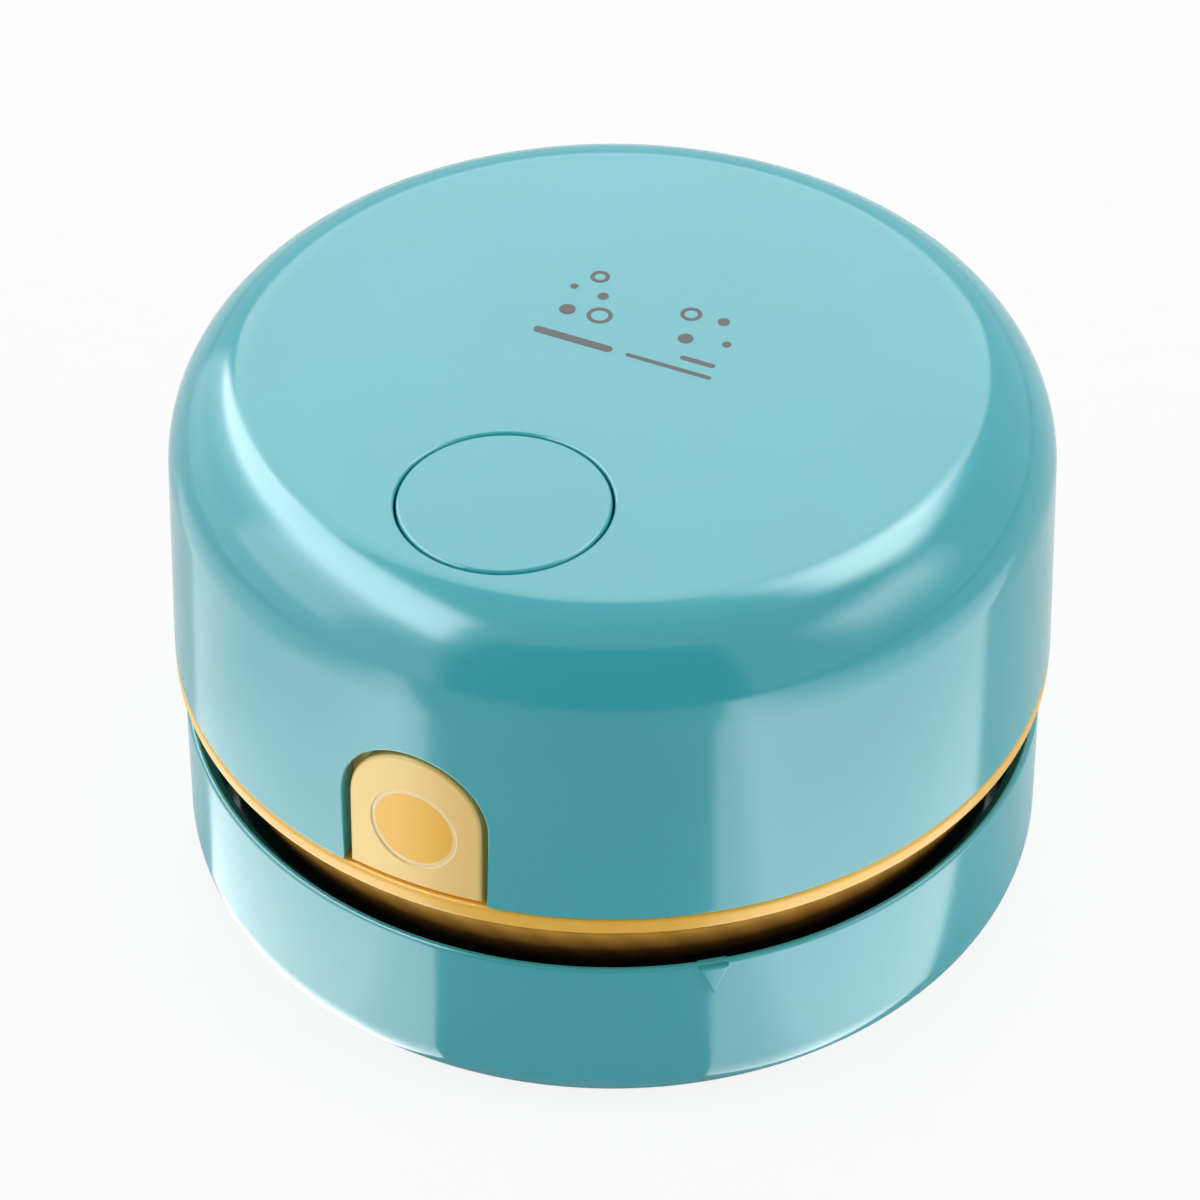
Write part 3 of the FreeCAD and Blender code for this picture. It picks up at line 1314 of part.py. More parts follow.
def export(doc):
    """Refuse any failed object, then write one STEP file for each node."""
    for thing in doc.Objects:
        if "Invalid" in thing.State or "Error" in thing.State:
            raise RuntimeError(f"{thing.Label} failed: {thing.State}")
    nodes = [doc.getObjectsByLabel(name)[0] for name in NODES]
    for node in nodes:
        if node.Shape.isNull() or not node.Shape.isValid() or node.Shape.Volume <= 0:
            raise RuntimeError(f"{node.Label} has no sound shape")
    os.makedirs("parts", exist_ok=True)
    for node in nodes:
        node.Shape.exportStep(f"parts/{node.Label}.step")


export(build())
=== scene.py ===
import json
import math

import bpy
from mathutils import Matrix, Quaternion, Vector

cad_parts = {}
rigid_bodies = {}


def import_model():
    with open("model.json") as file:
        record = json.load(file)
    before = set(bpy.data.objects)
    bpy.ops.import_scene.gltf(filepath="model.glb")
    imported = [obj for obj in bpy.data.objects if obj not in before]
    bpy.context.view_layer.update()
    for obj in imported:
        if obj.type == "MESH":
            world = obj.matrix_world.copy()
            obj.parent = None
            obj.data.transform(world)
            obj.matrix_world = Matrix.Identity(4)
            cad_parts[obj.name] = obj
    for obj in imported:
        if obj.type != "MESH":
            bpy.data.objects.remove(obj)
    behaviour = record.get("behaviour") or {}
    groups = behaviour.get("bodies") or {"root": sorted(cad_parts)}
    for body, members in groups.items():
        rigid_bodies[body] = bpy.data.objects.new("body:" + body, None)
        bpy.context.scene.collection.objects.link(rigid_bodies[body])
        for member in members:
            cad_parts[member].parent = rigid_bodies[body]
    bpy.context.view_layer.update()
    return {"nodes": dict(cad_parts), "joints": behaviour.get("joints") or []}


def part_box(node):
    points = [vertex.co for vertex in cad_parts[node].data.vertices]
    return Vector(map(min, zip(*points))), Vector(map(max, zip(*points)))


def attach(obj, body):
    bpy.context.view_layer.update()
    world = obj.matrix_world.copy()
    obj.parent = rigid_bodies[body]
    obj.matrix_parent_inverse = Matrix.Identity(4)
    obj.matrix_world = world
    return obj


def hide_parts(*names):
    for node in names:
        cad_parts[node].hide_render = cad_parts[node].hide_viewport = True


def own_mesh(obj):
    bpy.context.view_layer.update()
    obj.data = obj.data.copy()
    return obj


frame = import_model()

# Desktop mini vacuum cleaner: smooth skins, finishes, floor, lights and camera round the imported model.
# Sizes are millimetres unless a line says otherwise.

mm = 0.001
hair = 0.01  # how far a chosen point may lie from its place
spare = 1.0  # how far a cutting tool stands past what it cuts


def level(node, end):
    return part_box(node)[end].z / mm  # end 0 is its bottom, 1 its top


deskToRim = level("base_cup", 1)
collarTop = level("dust_collar", 1)
wallLow = level("upper_housing", 0)
topLevel = level("upper_housing", 1)
inkFilm = 0.02  # the top print stands this much over the shell
skinTop = topLevel - inkFilm
bodyRadius = (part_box("mid_frame")[1].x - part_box("mid_frame")[0].x) / 2 / mm


def clear():
    if bpy.context.object and bpy.context.object.mode != "OBJECT":
        bpy.ops.object.mode_set(mode="OBJECT")
    bpy.ops.object.select_all(action="DESELECT")


def pick(piece):
    clear()
    bpy.context.view_layer.objects.active = piece
    piece.select_set(True)


def arc(x, z, radius, start, end, steps):
    # points along an arc, in degrees from +x towards +z
    turns = [math.radians(start + (end - start) * i / steps) for i in range(steps + 1)]
    return [(x + radius * math.cos(t), z + radius * math.sin(t)) for t in turns]


def circle(x, z, radius, steps):
    return arc(x, z, radius, 0, 360 - 360 / steps, steps - 1)


def slotOutline(length, width, x=0.0, z=0.0, steps=20):
    # a slot with round ends about the point x, z
    half = width / 2
    reach = length / 2 - half
    return arc(x + reach, z, half, -90, 90, steps) + arc(x - reach, z, half, 90, 270, steps)


def drawOutline(name, points, turn=0.0, closed=True, filled=False, height=None):
    # one vertex is extruded from point to point in an upright plane, or level where a height is given
    clear()
    bpy.ops.mesh.primitive_plane_add(size=mm)
    piece = bpy.context.object
    piece.name = piece.data.name = name
    across = Vector((math.cos(math.radians(turn)), math.sin(math.radians(turn)), 0))
    if height is None:
        places = [(across * x + Vector((0, 0, z))) * mm for x, z in points]
    else:
        places = [Vector((x, y, height)) * mm for x, y in points]
    bpy.ops.object.mode_set(mode="EDIT")
    bpy.ops.mesh.select_mode(type="VERT")
    bpy.ops.mesh.select_all(action="SELECT")
    bpy.ops.mesh.merge(type="CENTER")
    bpy.ops.transform.translate(value=places[0])
    for before, after in zip(places, places[1:]):
        bpy.ops.mesh.extrude_vertices_move(TRANSFORM_OT_translate={"value": after - before})
    bpy.ops.mesh.select_all(action="SELECT")
    if closed:
        bpy.ops.mesh.edge_face_add()
        if not filled:
            bpy.ops.mesh.delete(type="ONLY_FACE")
    return piece


def closeUp(piece):
    # leaves edit mode with doubles merged and every face outwards
    bpy.ops.mesh.select_all(action="SELECT")
    bpy.ops.mesh.remove_doubles(threshold=0.002 * mm)
    bpy.ops.mesh.normals_make_consistent(inside=False)
    bpy.ops.object.mode_set(mode="OBJECT")
    return piece


def turned(name, points, steps=240, closed=True):
    # a full turn about the fan's axis
    piece = drawOutline(name, points, closed=closed)
    bpy.ops.mesh.select_all(action="SELECT")
    bpy.ops.mesh.spin(steps=steps, angle=math.tau, center=(0, 0, 0), axis=(0, 0, 1))
    return closeUp(piece)


def sector(name, points, middle, sweep, steps=16):
    # part of a turn; spin runs clockwise, so it starts at the far end
    piece = drawOutline(name, points, turn=middle + sweep / 2, filled=True)
    bpy.ops.mesh.select_all(action="SELECT")
    bpy.ops.mesh.spin(steps=steps, angle=math.radians(sweep), center=(0, 0, 0), axis=(0, 0, 1))
    return closeUp(piece)


def prism(name, points, start, end, turn=0.0):
    # an upright outline pushed from start to end along the direction it faces
    piece = drawOutline(name, points, turn=turn, filled=True)
    facing = Vector((math.sin(math.radians(turn)), -math.cos(math.radians(turn)), 0))
    bpy.ops.mesh.select_all(action="SELECT")
    bpy.ops.transform.translate(value=facing * start * mm)
    push = facing * (end - start) * mm
    bpy.ops.mesh.extrude_region_move(TRANSFORM_OT_translate={"value": push})
    return closeUp(piece)


def upright(name, outline, low, high):
    # an outline level with the desk, pushed up from low to high
    piece = drawOutline(name, outline, filled=True, height=low)
    bpy.ops.mesh.select_all(action="SELECT")
    bpy.ops.mesh.extrude_region_move(TRANSFORM_OT_translate={"value": (0, 0, (high - low) * mm)})
    return closeUp(piece)


def peg(name, x, y, low, high, radius, steps=64):
    # an upright cylinder, for joining to a piece or cutting from it
    clear()
    bpy.ops.mesh.primitive_cylinder_add(
        vertices=steps,
        radius=radius * mm,
        depth=(high - low) * mm,
        location=(x * mm, y * mm, (low + high) / 2 * mm),
    )
    piece = bpy.context.object
    piece.name = piece.data.name = name
    bpy.ops.object.transform_apply(location=True, rotation=True, scale=True)
    return piece


def copyNode(node, name):
    # a merged copy of a CAD node's mesh
    pick(frame["nodes"][node])
    bpy.ops.object.duplicate()
    piece = bpy.context.object
    piece.name = piece.data.name = name
    bpy.ops.object.mode_set(mode="EDIT")
    return closeUp(piece)


def combine(piece, tool, operation="DIFFERENCE"):
    pick(piece)
    step = piece.modifiers.new("combine", "BOOLEAN")
    step.object = tool
    step.operation = operation
    step.solver = "EXACT"
    bpy.ops.object.modifier_apply(modifier=step.name)
    bpy.data.objects.remove(tool)
    return piece


def roundEdges(piece, chosen, width, segments=3):
    # bevel the edges whose two ends both satisfy chosen(point in mm)
    pick(piece)
    bpy.ops.object.mode_set(mode="EDIT")
    bpy.ops.mesh.select_mode(type="EDGE")
    bpy.ops.mesh.select_all(action="DESELECT")
    bpy.ops.object.mode_set(mode="OBJECT")
    points = [v.co / mm for v in piece.data.vertices]
    for edge in piece.data.edges:
        first, last = (points[i] for i in edge.vertices)
        edge.select = chosen(first) and chosen(last) and chosen((first + last) / 2)
    bpy.ops.object.mode_set(mode="EDIT")
    bpy.ops.mesh.bevel(
        offset=width * mm,
        segments=segments,
        affect="EDGES",
        clamp_overlap=False,
        face_strength_mode="AFFECTED",
    )
    bpy.ops.object.mode_set(mode="OBJECT")
    return piece


def smooth(piece, angle=32.0):
    pick(piece)
    bpy.ops.object.shade_smooth_by_angle(angle=math.radians(angle))
    step = piece.modifiers.new("flat faces stay flat", "WEIGHTED_NORMAL")
    step.keep_sharp = True
    step.use_face_influence = True  # a bevel takes its shading from the faces beside it
    bpy.ops.object.modifier_apply(modifier=step.name)
    return piece


def seat(piece, body, slot, finish, *nodes):
    # finished piece: its body, a slot name, which is not used, its material and the nodes it stands for
    piece.data.materials.clear()
    piece.data.materials.append(finish)
    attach(piece, body)
    if nodes:
        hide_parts(*nodes)
    return piece


def linear(code):
    # sRGB hex to the linear values that the shader takes
    parts = [int(code[i : i + 2], 16) / 255 for i in (1, 3, 5)]
    return [c / 12.92 if c <= 0.04045 else ((c + 0.055) / 1.055) ** 2.4 for c in parts] + [1.0]


def addNode(tree, kind, settings=None, links=None, stops=()):
    # settings go to sockets (by name or number) or to the node itself; a link is an output, or a node
    # for its first output; stops are the positions and colours of a ramp
    node = tree.nodes.new("ShaderNode" + kind)
    for key, value in (settings or {}).items():
        if isinstance(key, int) or key in node.inputs:
            node.inputs[key].default_value = value
        else:
            setattr(node, key, value)
    for key, source in (links or {}).items():
        output = source.outputs[0] if hasattr(source, "outputs") else source
        tree.links.new(output, node.inputs[key])
    for _ in stops[2:]:  # a ramp starts with two
        node.color_ramp.elements.new(0.5)
    for i, (position, code) in enumerate(stops):
        node.color_ramp.elements[i].position = position
        node.color_ramp.elements[i].color = linear(code)
    return node


def newMaterial(name):
    material = bpy.data.materials.new(name)
    material.use_nodes = True
    tree = material.node_tree
    tree.nodes.clear()
    place = addNode(tree, "TexCoord").outputs["Object"]
    return material, tree, place


def finishShader(tree, settings, links):
    shader = addNode(tree, "BsdfPrincipled", settings, links)
    addNode(tree, "OutputMaterial", links={"Surface": shader})


def patternedFinish(tree, pattern, relief, spec, wander, strength, settings):
    # one pattern drives colour and gloss, whose roughness wanders; the relief is 0.01 mm deep
    low, high = 0.3, 0.7  # a noise pattern's usual span
    stops = [(low, spec["shade"]), (high, spec["tone"])]
    colour = addNode(tree, "ValToRGB", links={"Fac": pattern}, stops=stops)
    span = {"From Min": low, "From Max": high}
    span.update({"To Min": spec["rough"] - wander, "To Max": spec["rough"] + wander})
    rough = addNode(tree, "MapRange", span, {"Value": pattern})
    bump = addNode(tree, "Bump", {"Strength": strength, "Distance": 0.01 * mm}, {"Height": relief})
    finishShader(tree, settings, {"Base Color": colour, "Roughness": rough, "Normal": bump})


def mouldedPlastic(name, spec):
    # injection-moulded plastic: even colour with a faint flow mottle, and a fine pebble in the gloss
    material, tree, place = newMaterial(name)
    patterns = []
    for size, detail in ((spec["flow"], 3.0), (spec["pebble"], 2.0)):
        settings = {"Scale": 1 / (size * mm), "Detail": detail}
        patterns.append(addNode(tree, "TexNoise", settings, {"Vector": place}))
    patternedFinish(tree, *patterns, spec, wander=0.03, strength=spec["bump"], settings={"IOR": 1.53})
    return material


def metal(name, spec):
    # drawn, turned or plated metal: fine streaks along one axis in the gloss
    material, tree, place = newMaterial(name)
    scale = [1 / (size * mm) for size in spec["streak"]]
    stretch = addNode(tree, "Mapping", {"Scale": scale}, {"Vector": place})
    streak = addNode(tree, "TexNoise", {"Scale": 1.0, "Detail": 4.0}, {"Vector": stretch})
    patternedFinish(tree, streak, streak, spec, wander=0.06, strength=0.15, settings={"Metallic": 1.0})
    return material


turquoiseShell = mouldedPlastic(
    "ABS, moulded turquoise",
    # semi-gloss: soft-edged reflections, slightly deeper where the melt flowed last
    {"shade": "#3DAFBB", "tone": "#42B5C1", "flow": 30.0, "pebble": 0.5, "rough": 0.15, "bump": 0.05},
)
yellowFrame = mouldedPlastic(
    "ABS, moulded yellow",
    # warm and satin, so the band keeps one soft line of light
    {"shade": "#FFC03A", "tone": "#FFC94A", "flow": 20.0, "pebble": 0.5, "rough": 0.3, "bump": 0.1},
)
greyPart = mouldedPlastic(
    "ABS, moulded grey",
    # dull inner part, with the grain of a spark-eroded mould
    {"shade": "#63666A", "tone": "#6E7175", "flow": 8.0, "pebble": 0.3, "rough": 0.48, "bump": 0.3},
)
blackPart = mouldedPlastic(
    "PBT, moulded black",
    # dense black with a low sheen
    {"shade": "#131315", "tone": "#1B1B1E", "flow": 5.0, "pebble": 0.25, "rough": 0.42, "bump": 0.3},
)
whitePart = mouldedPlastic(
    "POM, moulded white",
    # slightly waxy off-white
    {"shade": "#DAD9D3", "tone": "#E6E5E0", "flow": 7.0, "pebble": 0.3, "rough": 0.36, "bump": 0.2},
)
padInk = mouldedPlastic(
    "Ink, pad printed dark grey",
    # satin film: flatter than the plastic round it
    {"shade": "#2B2E31", "tone": "#34373A", "flow": 3.0, "pebble": 0.15, "rough": 0.5, "bump": 0.1},
)
bristleBar = mouldedPlastic(
    "Polypropylene, moulded dark grey",
    # matt, a little paler than the bristles it holds
    {"shade": "#3A3C3F", "tone": "#46484B", "flow": 5.0, "pebble": 0.25, "rough": 0.5, "bump": 0.3},
)
glidePad = mouldedPlastic(
    "UHMW polyethylene, skived",
    # chalky grey from the skiving knife
    {"shade": "#4A4C50", "tone": "#565A5E", "flow": 3.0, "pebble": 0.2, "rough": 0.55, "bump": 0.4},
)
sealRubber = mouldedPlastic(
    "Silicone rubber, moulded",
    # soft black that hardly reflects
    {"shade": "#141414", "tone": "#1E1E1E", "flow": 4.0, "pebble": 0.3, "rough": 0.7, "bump": 0.4},
)
cellSleeve = mouldedPlastic(
    "PVC, shrunk sleeve",
    # glossy blue film, slightly uneven where it shrank
    {"shade": "#235A9E", "tone": "#2C68B2", "flow": 10.0, "pebble": 0.8, "rough": 0.25, "bump": 0.2},
)
motorSteel = metal(
    "Steel, drawn and zinc plated",
    # draw lines along the can under a dull plating
    {"shade": "#8F9296", "tone": "#B4B7BB", "streak": (0.4, 0.4, 6.0), "rough": 0.32},
)
screwSteel = metal(
    "Steel, cold-headed and nickel plated",
    # short blurred streaks, as plating leaves them on a small head
    {"shade": "#9A9A9A", "tone": "#BDBDBD", "streak": (0.3, 0.3, 0.8), "rough": 0.28},
)
shaftSteel = metal(
    "Steel, ground",
    # bright, with fine rings from the wheel
    {"shade": "#A6A8AB", "tone": "#C9CBCE", "streak": (3.0, 3.0, 0.2), "rough": 0.16},
)
bronzeBush = metal(
    "Bronze, sintered",
    # grains without a direction, darkened by its oil
    {"shade": "#7E5A31", "tone": "#A67C46", "streak": (0.25, 0.25, 0.25), "rough": 0.45},
)
nickelStrip = metal(
    "Nickel, rolled strip",
    # long mill lines across a warm grey
    {"shade": "#ABA89F", "tone": "#CFCCC3", "streak": (4.0, 0.3, 4.0), "rough": 0.22},
)


def circuitBoardFinish():
    # glass epoxy under green solder mask: tracks show as paler lines 4 mm apart, coarser than real ones
    material, tree, place = newMaterial("Glass epoxy, solder masked")
    settings = {
        "Scale": 1 / (4.0 * mm),
        "Mortar Size": 0.06,
        "Mortar Smooth": 0.2,
        "Color1": linear("#1B5A38"),
        "Color2": linear("#1F6540"),
        "Mortar": linear("#3C8A5C"),
    }
    tracks = addNode(tree, "TexBrick", settings, {"Vector": place})
    gloss = {"Roughness": 0.35, "IOR": 1.5, "Coat Weight": 0.3}
    finishShader(tree, gloss, {"Base Color": tracks})
    return material


def filterCloth(name, spec):
    # woven gauze or needled felt: crossing threads, or a matted fibre once they wander; both are
    # drawn coarser than the real thread, so that they show
    material, tree, place = newMaterial(name)
    pitch = spec["pitch"] * mm
    heights = []
    for direction in ("X", "Y"):
        settings = {"Scale": 1 / (pitch * 20), "Distortion": spec["wander"]}
        settings["bands_direction"] = direction
        heights.append(addNode(tree, "TexWave", settings, {"Vector": place}).outputs["Fac"])
    weave = addNode(tree, "Math", {"operation": "MAXIMUM"}, {0: heights[0], 1: heights[1]})
    stops = [(0.2, spec["gap"]), (0.8, spec["thread"])]
    colour = addNode(tree, "ValToRGB", links={"Fac": weave}, stops=stops)
    bump = addNode(tree, "Bump", {"Strength": 0.6, "Distance": 0.1 * mm}, {"Height": weave})
    cloth = {"Roughness": 0.85, "Sheen Weight": 0.3}
    finishShader(tree, cloth, {"Base Color": colour, "Normal": bump})
    return material


def bristleFinish():
    # extruded nylon filament: nearly black, paler and worn at the tip
    material, tree, place = newMaterial("Nylon 6, extruded filament")
    height = addNode(tree, "SeparateXYZ", links={"Vector": place}).outputs["Z"]
    span = {"From Min": 0.2 * mm, "From Max": 2.4 * mm}
    rise = addNode(tree, "MapRange", span, {"Value": height})
    stops = [(0.0, "#5A5C60"), (1.0, "#26272A")]
    colour = addNode(tree, "ValToRGB", links={"Fac": rise}, stops=stops)
    finishShader(tree, {"Roughness": 0.4, "IOR": 1.53}, {"Base Color": colour})
    return material


def smokedCollarFinish():
    # smoked clear SAN, moulded glossy: painted amber reflection of the yellow band at the top and
    # painted shade to near black lower down in the groove, with faint slanting ribs behind the face;
    # slant is in radians for each centimetre of height
    spec = {"low": deskToRim - 2.0, "high": collarTop, "ribs": 60.0, "slant": 9.0}
    material, tree, place = newMaterial("SAN, moulded smoked clear")
    east, north, height = addNode(tree, "SeparateXYZ", links={"Vector": place}).outputs
    span = {"From Min": spec["low"] * mm, "From Max": spec["high"] * mm}
    rise = addNode(tree, "MapRange", span, {"Value": height})
    # painted light up the collar: near-black painted shade low in the groove, rising to a painted amber
    # reflection of the band at the top
    stops = [(0.0, "#1C1006"), (0.4, "#5C3A12"), (0.75, "#B27C2A"), (1.0, "#E2AA42")]
    depth = addNode(tree, "ValToRGB", links={"Fac": rise}, stops=stops)
    around = addNode(tree, "Math", {"operation": "ARCTAN2"}, {0: north, 1: east})
    scaled = addNode(tree, "Math", {"operation": "MULTIPLY", 1: spec["ribs"]}, {0: around})
    slant = spec["slant"] / mm / 10
    lean = addNode(tree, "Math", {"operation": "MULTIPLY", 1: slant}, {0: height})
    phase = addNode(tree, "Math", {"operation": "ADD"}, {0: scaled, 1: lean})
    ribs = addNode(tree, "Math", {"operation": "SINE"}, {0: phase})
    shades = {"From Min": -1.0, "From Max": 1.0, "To Min": 0.88, "To Max": 1.06}
    tint = addNode(tree, "MapRange", shades, {"Value": ribs})
    product = {"data_type": "RGBA", "blend_type": "MULTIPLY", "Factor": 1.0}
    colour = addNode(tree, "Mix", product, {6: depth, 7: tint}).outputs[2]
    finishShader(tree, {"Roughness": 0.16, "IOR": 1.5}, {"Base Color": colour})
    return material


def releaseTabFinish(mark):
    # pale yellow ABS; the round finger mark is a deeper yellow, with a painted highlight as a pale ring
    # round it where its rounded rim catches the light
    material, tree, place = newMaterial("ABS, moulded pale yellow")
    centring = {"Location": (0.0, 0.0, -mark["level"] * mm), "Scale": (1, 0, 1)}
    centred = addNode(tree, "Mapping", centring, {"Vector": place})
    away = addNode(tree, "VectorMath", {"operation": "LENGTH"}, {0: centred}).outputs["Value"]
    inMark = addNode(tree, "MapRange", {"From Max": mark["radius"] * 2 * mm}, {"Value": away})
    # the ring is a painted highlight: a pale band at the dish's rounded rim
    ring = mark["ring"] / mark["radius"] / 2
    stops = [(0.49 - ring, "#FCBD0A"), (0.5 - ring, "#FBE0A8"), (0.5, "#FBE0A8"), (0.51, "#FDD67C")]
    colour = addNode(tree, "ValToRGB", links={"Fac": inMark}, stops=stops)
    pebble = addNode(tree, "TexNoise", {"Scale": 1 / (0.5 * mm), "Detail": 2.0}, {"Vector": place})
    bump = addNode(tree, "Bump", {"Strength": 0.1, "Distance": 0.01 * mm}, {"Height": pebble})
    finishShader(tree, {"Roughness": 0.34, "IOR": 1.53}, {"Base Color": colour, "Normal": bump})
    return material


def clearPipeFinish():
    # clear acrylic rod: its sawn end is frosted, so it looks pale and cloudy
    material, tree, place = newMaterial("Acrylic, clear rod")
    frost = addNode(tree, "TexNoise", {"Scale": 1 / (0.2 * mm)}, {"Vector": place})
    stops = [(0.3, "#D8DCE0"), (0.7, "#F0F2F4")]
    colour = addNode(tree, "ValToRGB", links={"Fac": frost}, stops=stops)
    settings = {"Roughness": 0.25, "IOR": 1.49, "Transmission Weight": 0.5}
    finishShader(tree, settings, {"Base Color": colour})
    return material


circuitBoard = circuitBoardFinish()
nylonMesh = filterCloth(
    "Nylon, woven gauze", {"pitch": 0.5, "wander": 0.0, "gap": "#8C8C88", "thread": "#D9D9D4"}
)
filterFelt = filterCloth(
    "Polyester felt, needled", {"pitch": 0.9, "wander": 6.0, "gap": "#C9C7BE", "thread": "#EDEBE3"}
)
bristleNylon = bristleFinish()
smokedCollar = smokedCollarFinish()
clearPipe = clearPipeFinish()
print("finishes made")

# finishes of the nodes that are carried over as they are
nodeFinishes = [
    (greyPart, ["motor_mount", "filter_frame"]),
    (blackPart, ["power_switch", "motor_end_cap"]),
    (whitePart, ["switch_plunger", "impeller"]),
    (circuitBoard, ["switch_board", "charge_board"]),
    (motorSteel, ["motor_can"]),
    (shaftSteel, ["motor_shaft"]),
    (bronzeBush, ["motor_bearing", "motor_terminals"]),
    (screwSteel, ["board_screws", "motor_screws", "frame_screws"]),
    (cellSleeve, ["battery_cell"]),
    (nickelStrip, ["battery_tabs", "charge_socket"]),
    (clearPipe, ["charge_light"]),
    (sealRubber, ["sleeve_seal"]),
    (nylonMesh, ["filter_mesh"]),
    (filterFelt, ["filter_pad"]),
    (bristleBar, ["bristle_bar_front", "bristle_bar_rear"]),
    (glidePad, [f"glide_foot_{number}" for number in range(1, 5)]),
]
for finish, nodes in nodeFinishes:
    for node in nodes:
        slots = frame["nodes"][node].data.materials
        if not slots:
            slots.append(finish)
        for i in range(len(slots)):
            slots[i] = finish


housing = {
    "wall": 1.8,
    "shoulderRadius": 42.2,  # of the wall where the shoulder starts
    "shoulderArc": 10.25,
    "shoulderTurn": 17.3,  # degrees left where the shoulder breaks into the flat top
    "breakBlend": 7.0,
    "edge": 0.3,
    "holeRadius": 10.0,
    "holeOffset": 22.9,
    "wellDepth": 4.5,
    "wellWall": 1.2,
    "sunk": 0.5,  # how far the well reaches into the ceiling
    "archWidth": 14.7,
    "archTall": 16.0,
    "archFlare": 0.7,  # rounding of its lower corners
    "archFoot": 0.6,  # the flare ends and the rounded edge starts
    "archRound": 0.35,
    "wallCut": (30, 50),  # a cut through the wall starts and ends here, out from the axis
    "portGap": 0.3,  # slot round the charging socket
    "portRound": 0.25,
    "lightHole": 0.95,
}


def archOutline(width, low, high, flare=0.0):
    half = width / 2
    points = arc(0, high - half, half, 0, 180, 48)
    if flare:
        points += arc(-half - flare, low + flare, flare, 0, -90, 6)
        points += [(-half - flare, low - 2), (half + flare, low - 2)]
        points += arc(half + flare, low + flare, flare, -90, -180, 6)
    else:
        points += [(-half, low), (half, low)]
    return points


def shoulderLevel(spec):
    # height of the shoulder arc's centre
    return skinTop - spec["shoulderArc"] * math.cos(math.radians(spec["shoulderTurn"]))


def makeHousing(spec):
    inner = spec["shoulderArc"] - spec["wall"]
    blend = spec["breakBlend"]
    middle = spec["shoulderRadius"] - spec["shoulderArc"]
    shoulder = shoulderLevel(spec)
    ceiling = skinTop - spec["wall"]
    # centre of the blend between shoulder arc and flat top
    rise = skinTop - blend - shoulder
    reach = math.sqrt((spec["shoulderArc"] - blend) ** 2 - rise**2)
    turn = math.degrees(math.atan2(rise, reach))
    innerTurn = math.degrees(math.asin((ceiling - shoulder) / inner))
    outline = [(middle + inner * math.cos(math.radians(innerTurn)), ceiling)]
    outline += arc(middle, shoulder, inner, innerTurn, 0, 12)
    outline += [(bodyRadius - spec["wall"], wallLow)]
    outline += arc(bodyRadius - spec["edge"], wallLow + spec["edge"], spec["edge"], -90, 0, 4)
    outline += arc(middle, shoulder, spec["shoulderArc"], 0, turn, 28)
    outline += arc(middle + reach, skinTop - blend, blend, turn, 90, 10)[1:]
    shell = turned("housingShell", outline, closed=False)
    # close top and ceiling with one flat face each
    pick(shell)
    bpy.ops.object.mode_set(mode="EDIT")
    bpy.ops.mesh.select_all(action="DESELECT")
    bpy.ops.mesh.select_non_manifold()
    bpy.ops.mesh.fill_holes(sides=0)
    closeUp(shell)

    y, radius, wellLow = -spec["holeOffset"], spec["holeRadius"], ceiling - spec["wellDepth"]
    well = peg("well", 0, y, wellLow, ceiling + spec["sunk"], radius + spec["wellWall"], 128)
    combine(shell, well, "UNION")
    combine(shell, peg("hole", 0, y, wellLow - spare, skinTop + spare, radius, 128))
    flare = archOutline(spec["archWidth"], wallLow, wallLow + spec["archTall"], spec["archFlare"])
    start, end = spec["wallCut"]
    combine(shell, prism("archCut", flare, start, end))

    def onHole(p):
        away = math.hypot(p.x, p.y + spec["holeOffset"])
        return abs(p.z - skinTop) < hair and abs(away - spec["holeRadius"]) < hair * 2

    def onArch(p):
        half = spec["archWidth"] / 2
        spring = wallLow + spec["archTall"] - half
        away = math.hypot(p.x, p.z - spring) if p.z > spring else abs(p.x)
        outside = math.hypot(p.x, p.y) > spec["shoulderRadius"] - spec["edge"]
        return outside and p.y < 0 and abs(away - half) < hair * 3 and p.z > wallLow + spec["archFoot"]

    roundEdges(shell, onHole, spec["edge"])
    roundEdges(shell, onArch, spec["archRound"])

    # rear slot of the charging socket and the light pipe's hole
    low, high = (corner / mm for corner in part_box("charge_socket"))
    middleLevel, gap = (low.z + high.z) / 2, spec["portGap"] * 2
    long, wide = high.x - low.x + gap, high.z - low.z + gap
    slot = slotOutline(long, wide, z=middleLevel, steps=16)
    combine(shell, prism("slotCut", slot, -start, -end))
    first, last = (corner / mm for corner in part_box("charge_light"))
    pipe = circle((first.x + last.x) / 2, middleLevel, spec["lightHole"], 24)
    combine(shell, prism("pipeCut", pipe, -start, -end))

    def onSlot(p):
        outside = math.hypot(p.x, p.y) > spec["shoulderRadius"] - spec["portRound"]
        beside = abs(p.x) < (long + gap) / 2 and abs(p.z - middleLevel) < (wide + gap) / 2
        return p.y > 0 and outside and beside

    roundEdges(shell, onSlot, spec["portRound"])
    return smooth(shell)


seat(makeHousing(housing), "housing", "teal", turquoiseShell, "upper_housing")
print("housing made")


button = {
    "radius": 9.8,
    "cap": 1.6,
    "skirt": 1.2,
    "edge": 0.3,
    "snap": 1.4,  # how far the snap rim stands out
    "snapTall": 0.8,
    "stem": 2.0,
    "stemTop": 1.2,  # it ends inside the cap, this far under the top
    "offset": housing["holeOffset"],
}


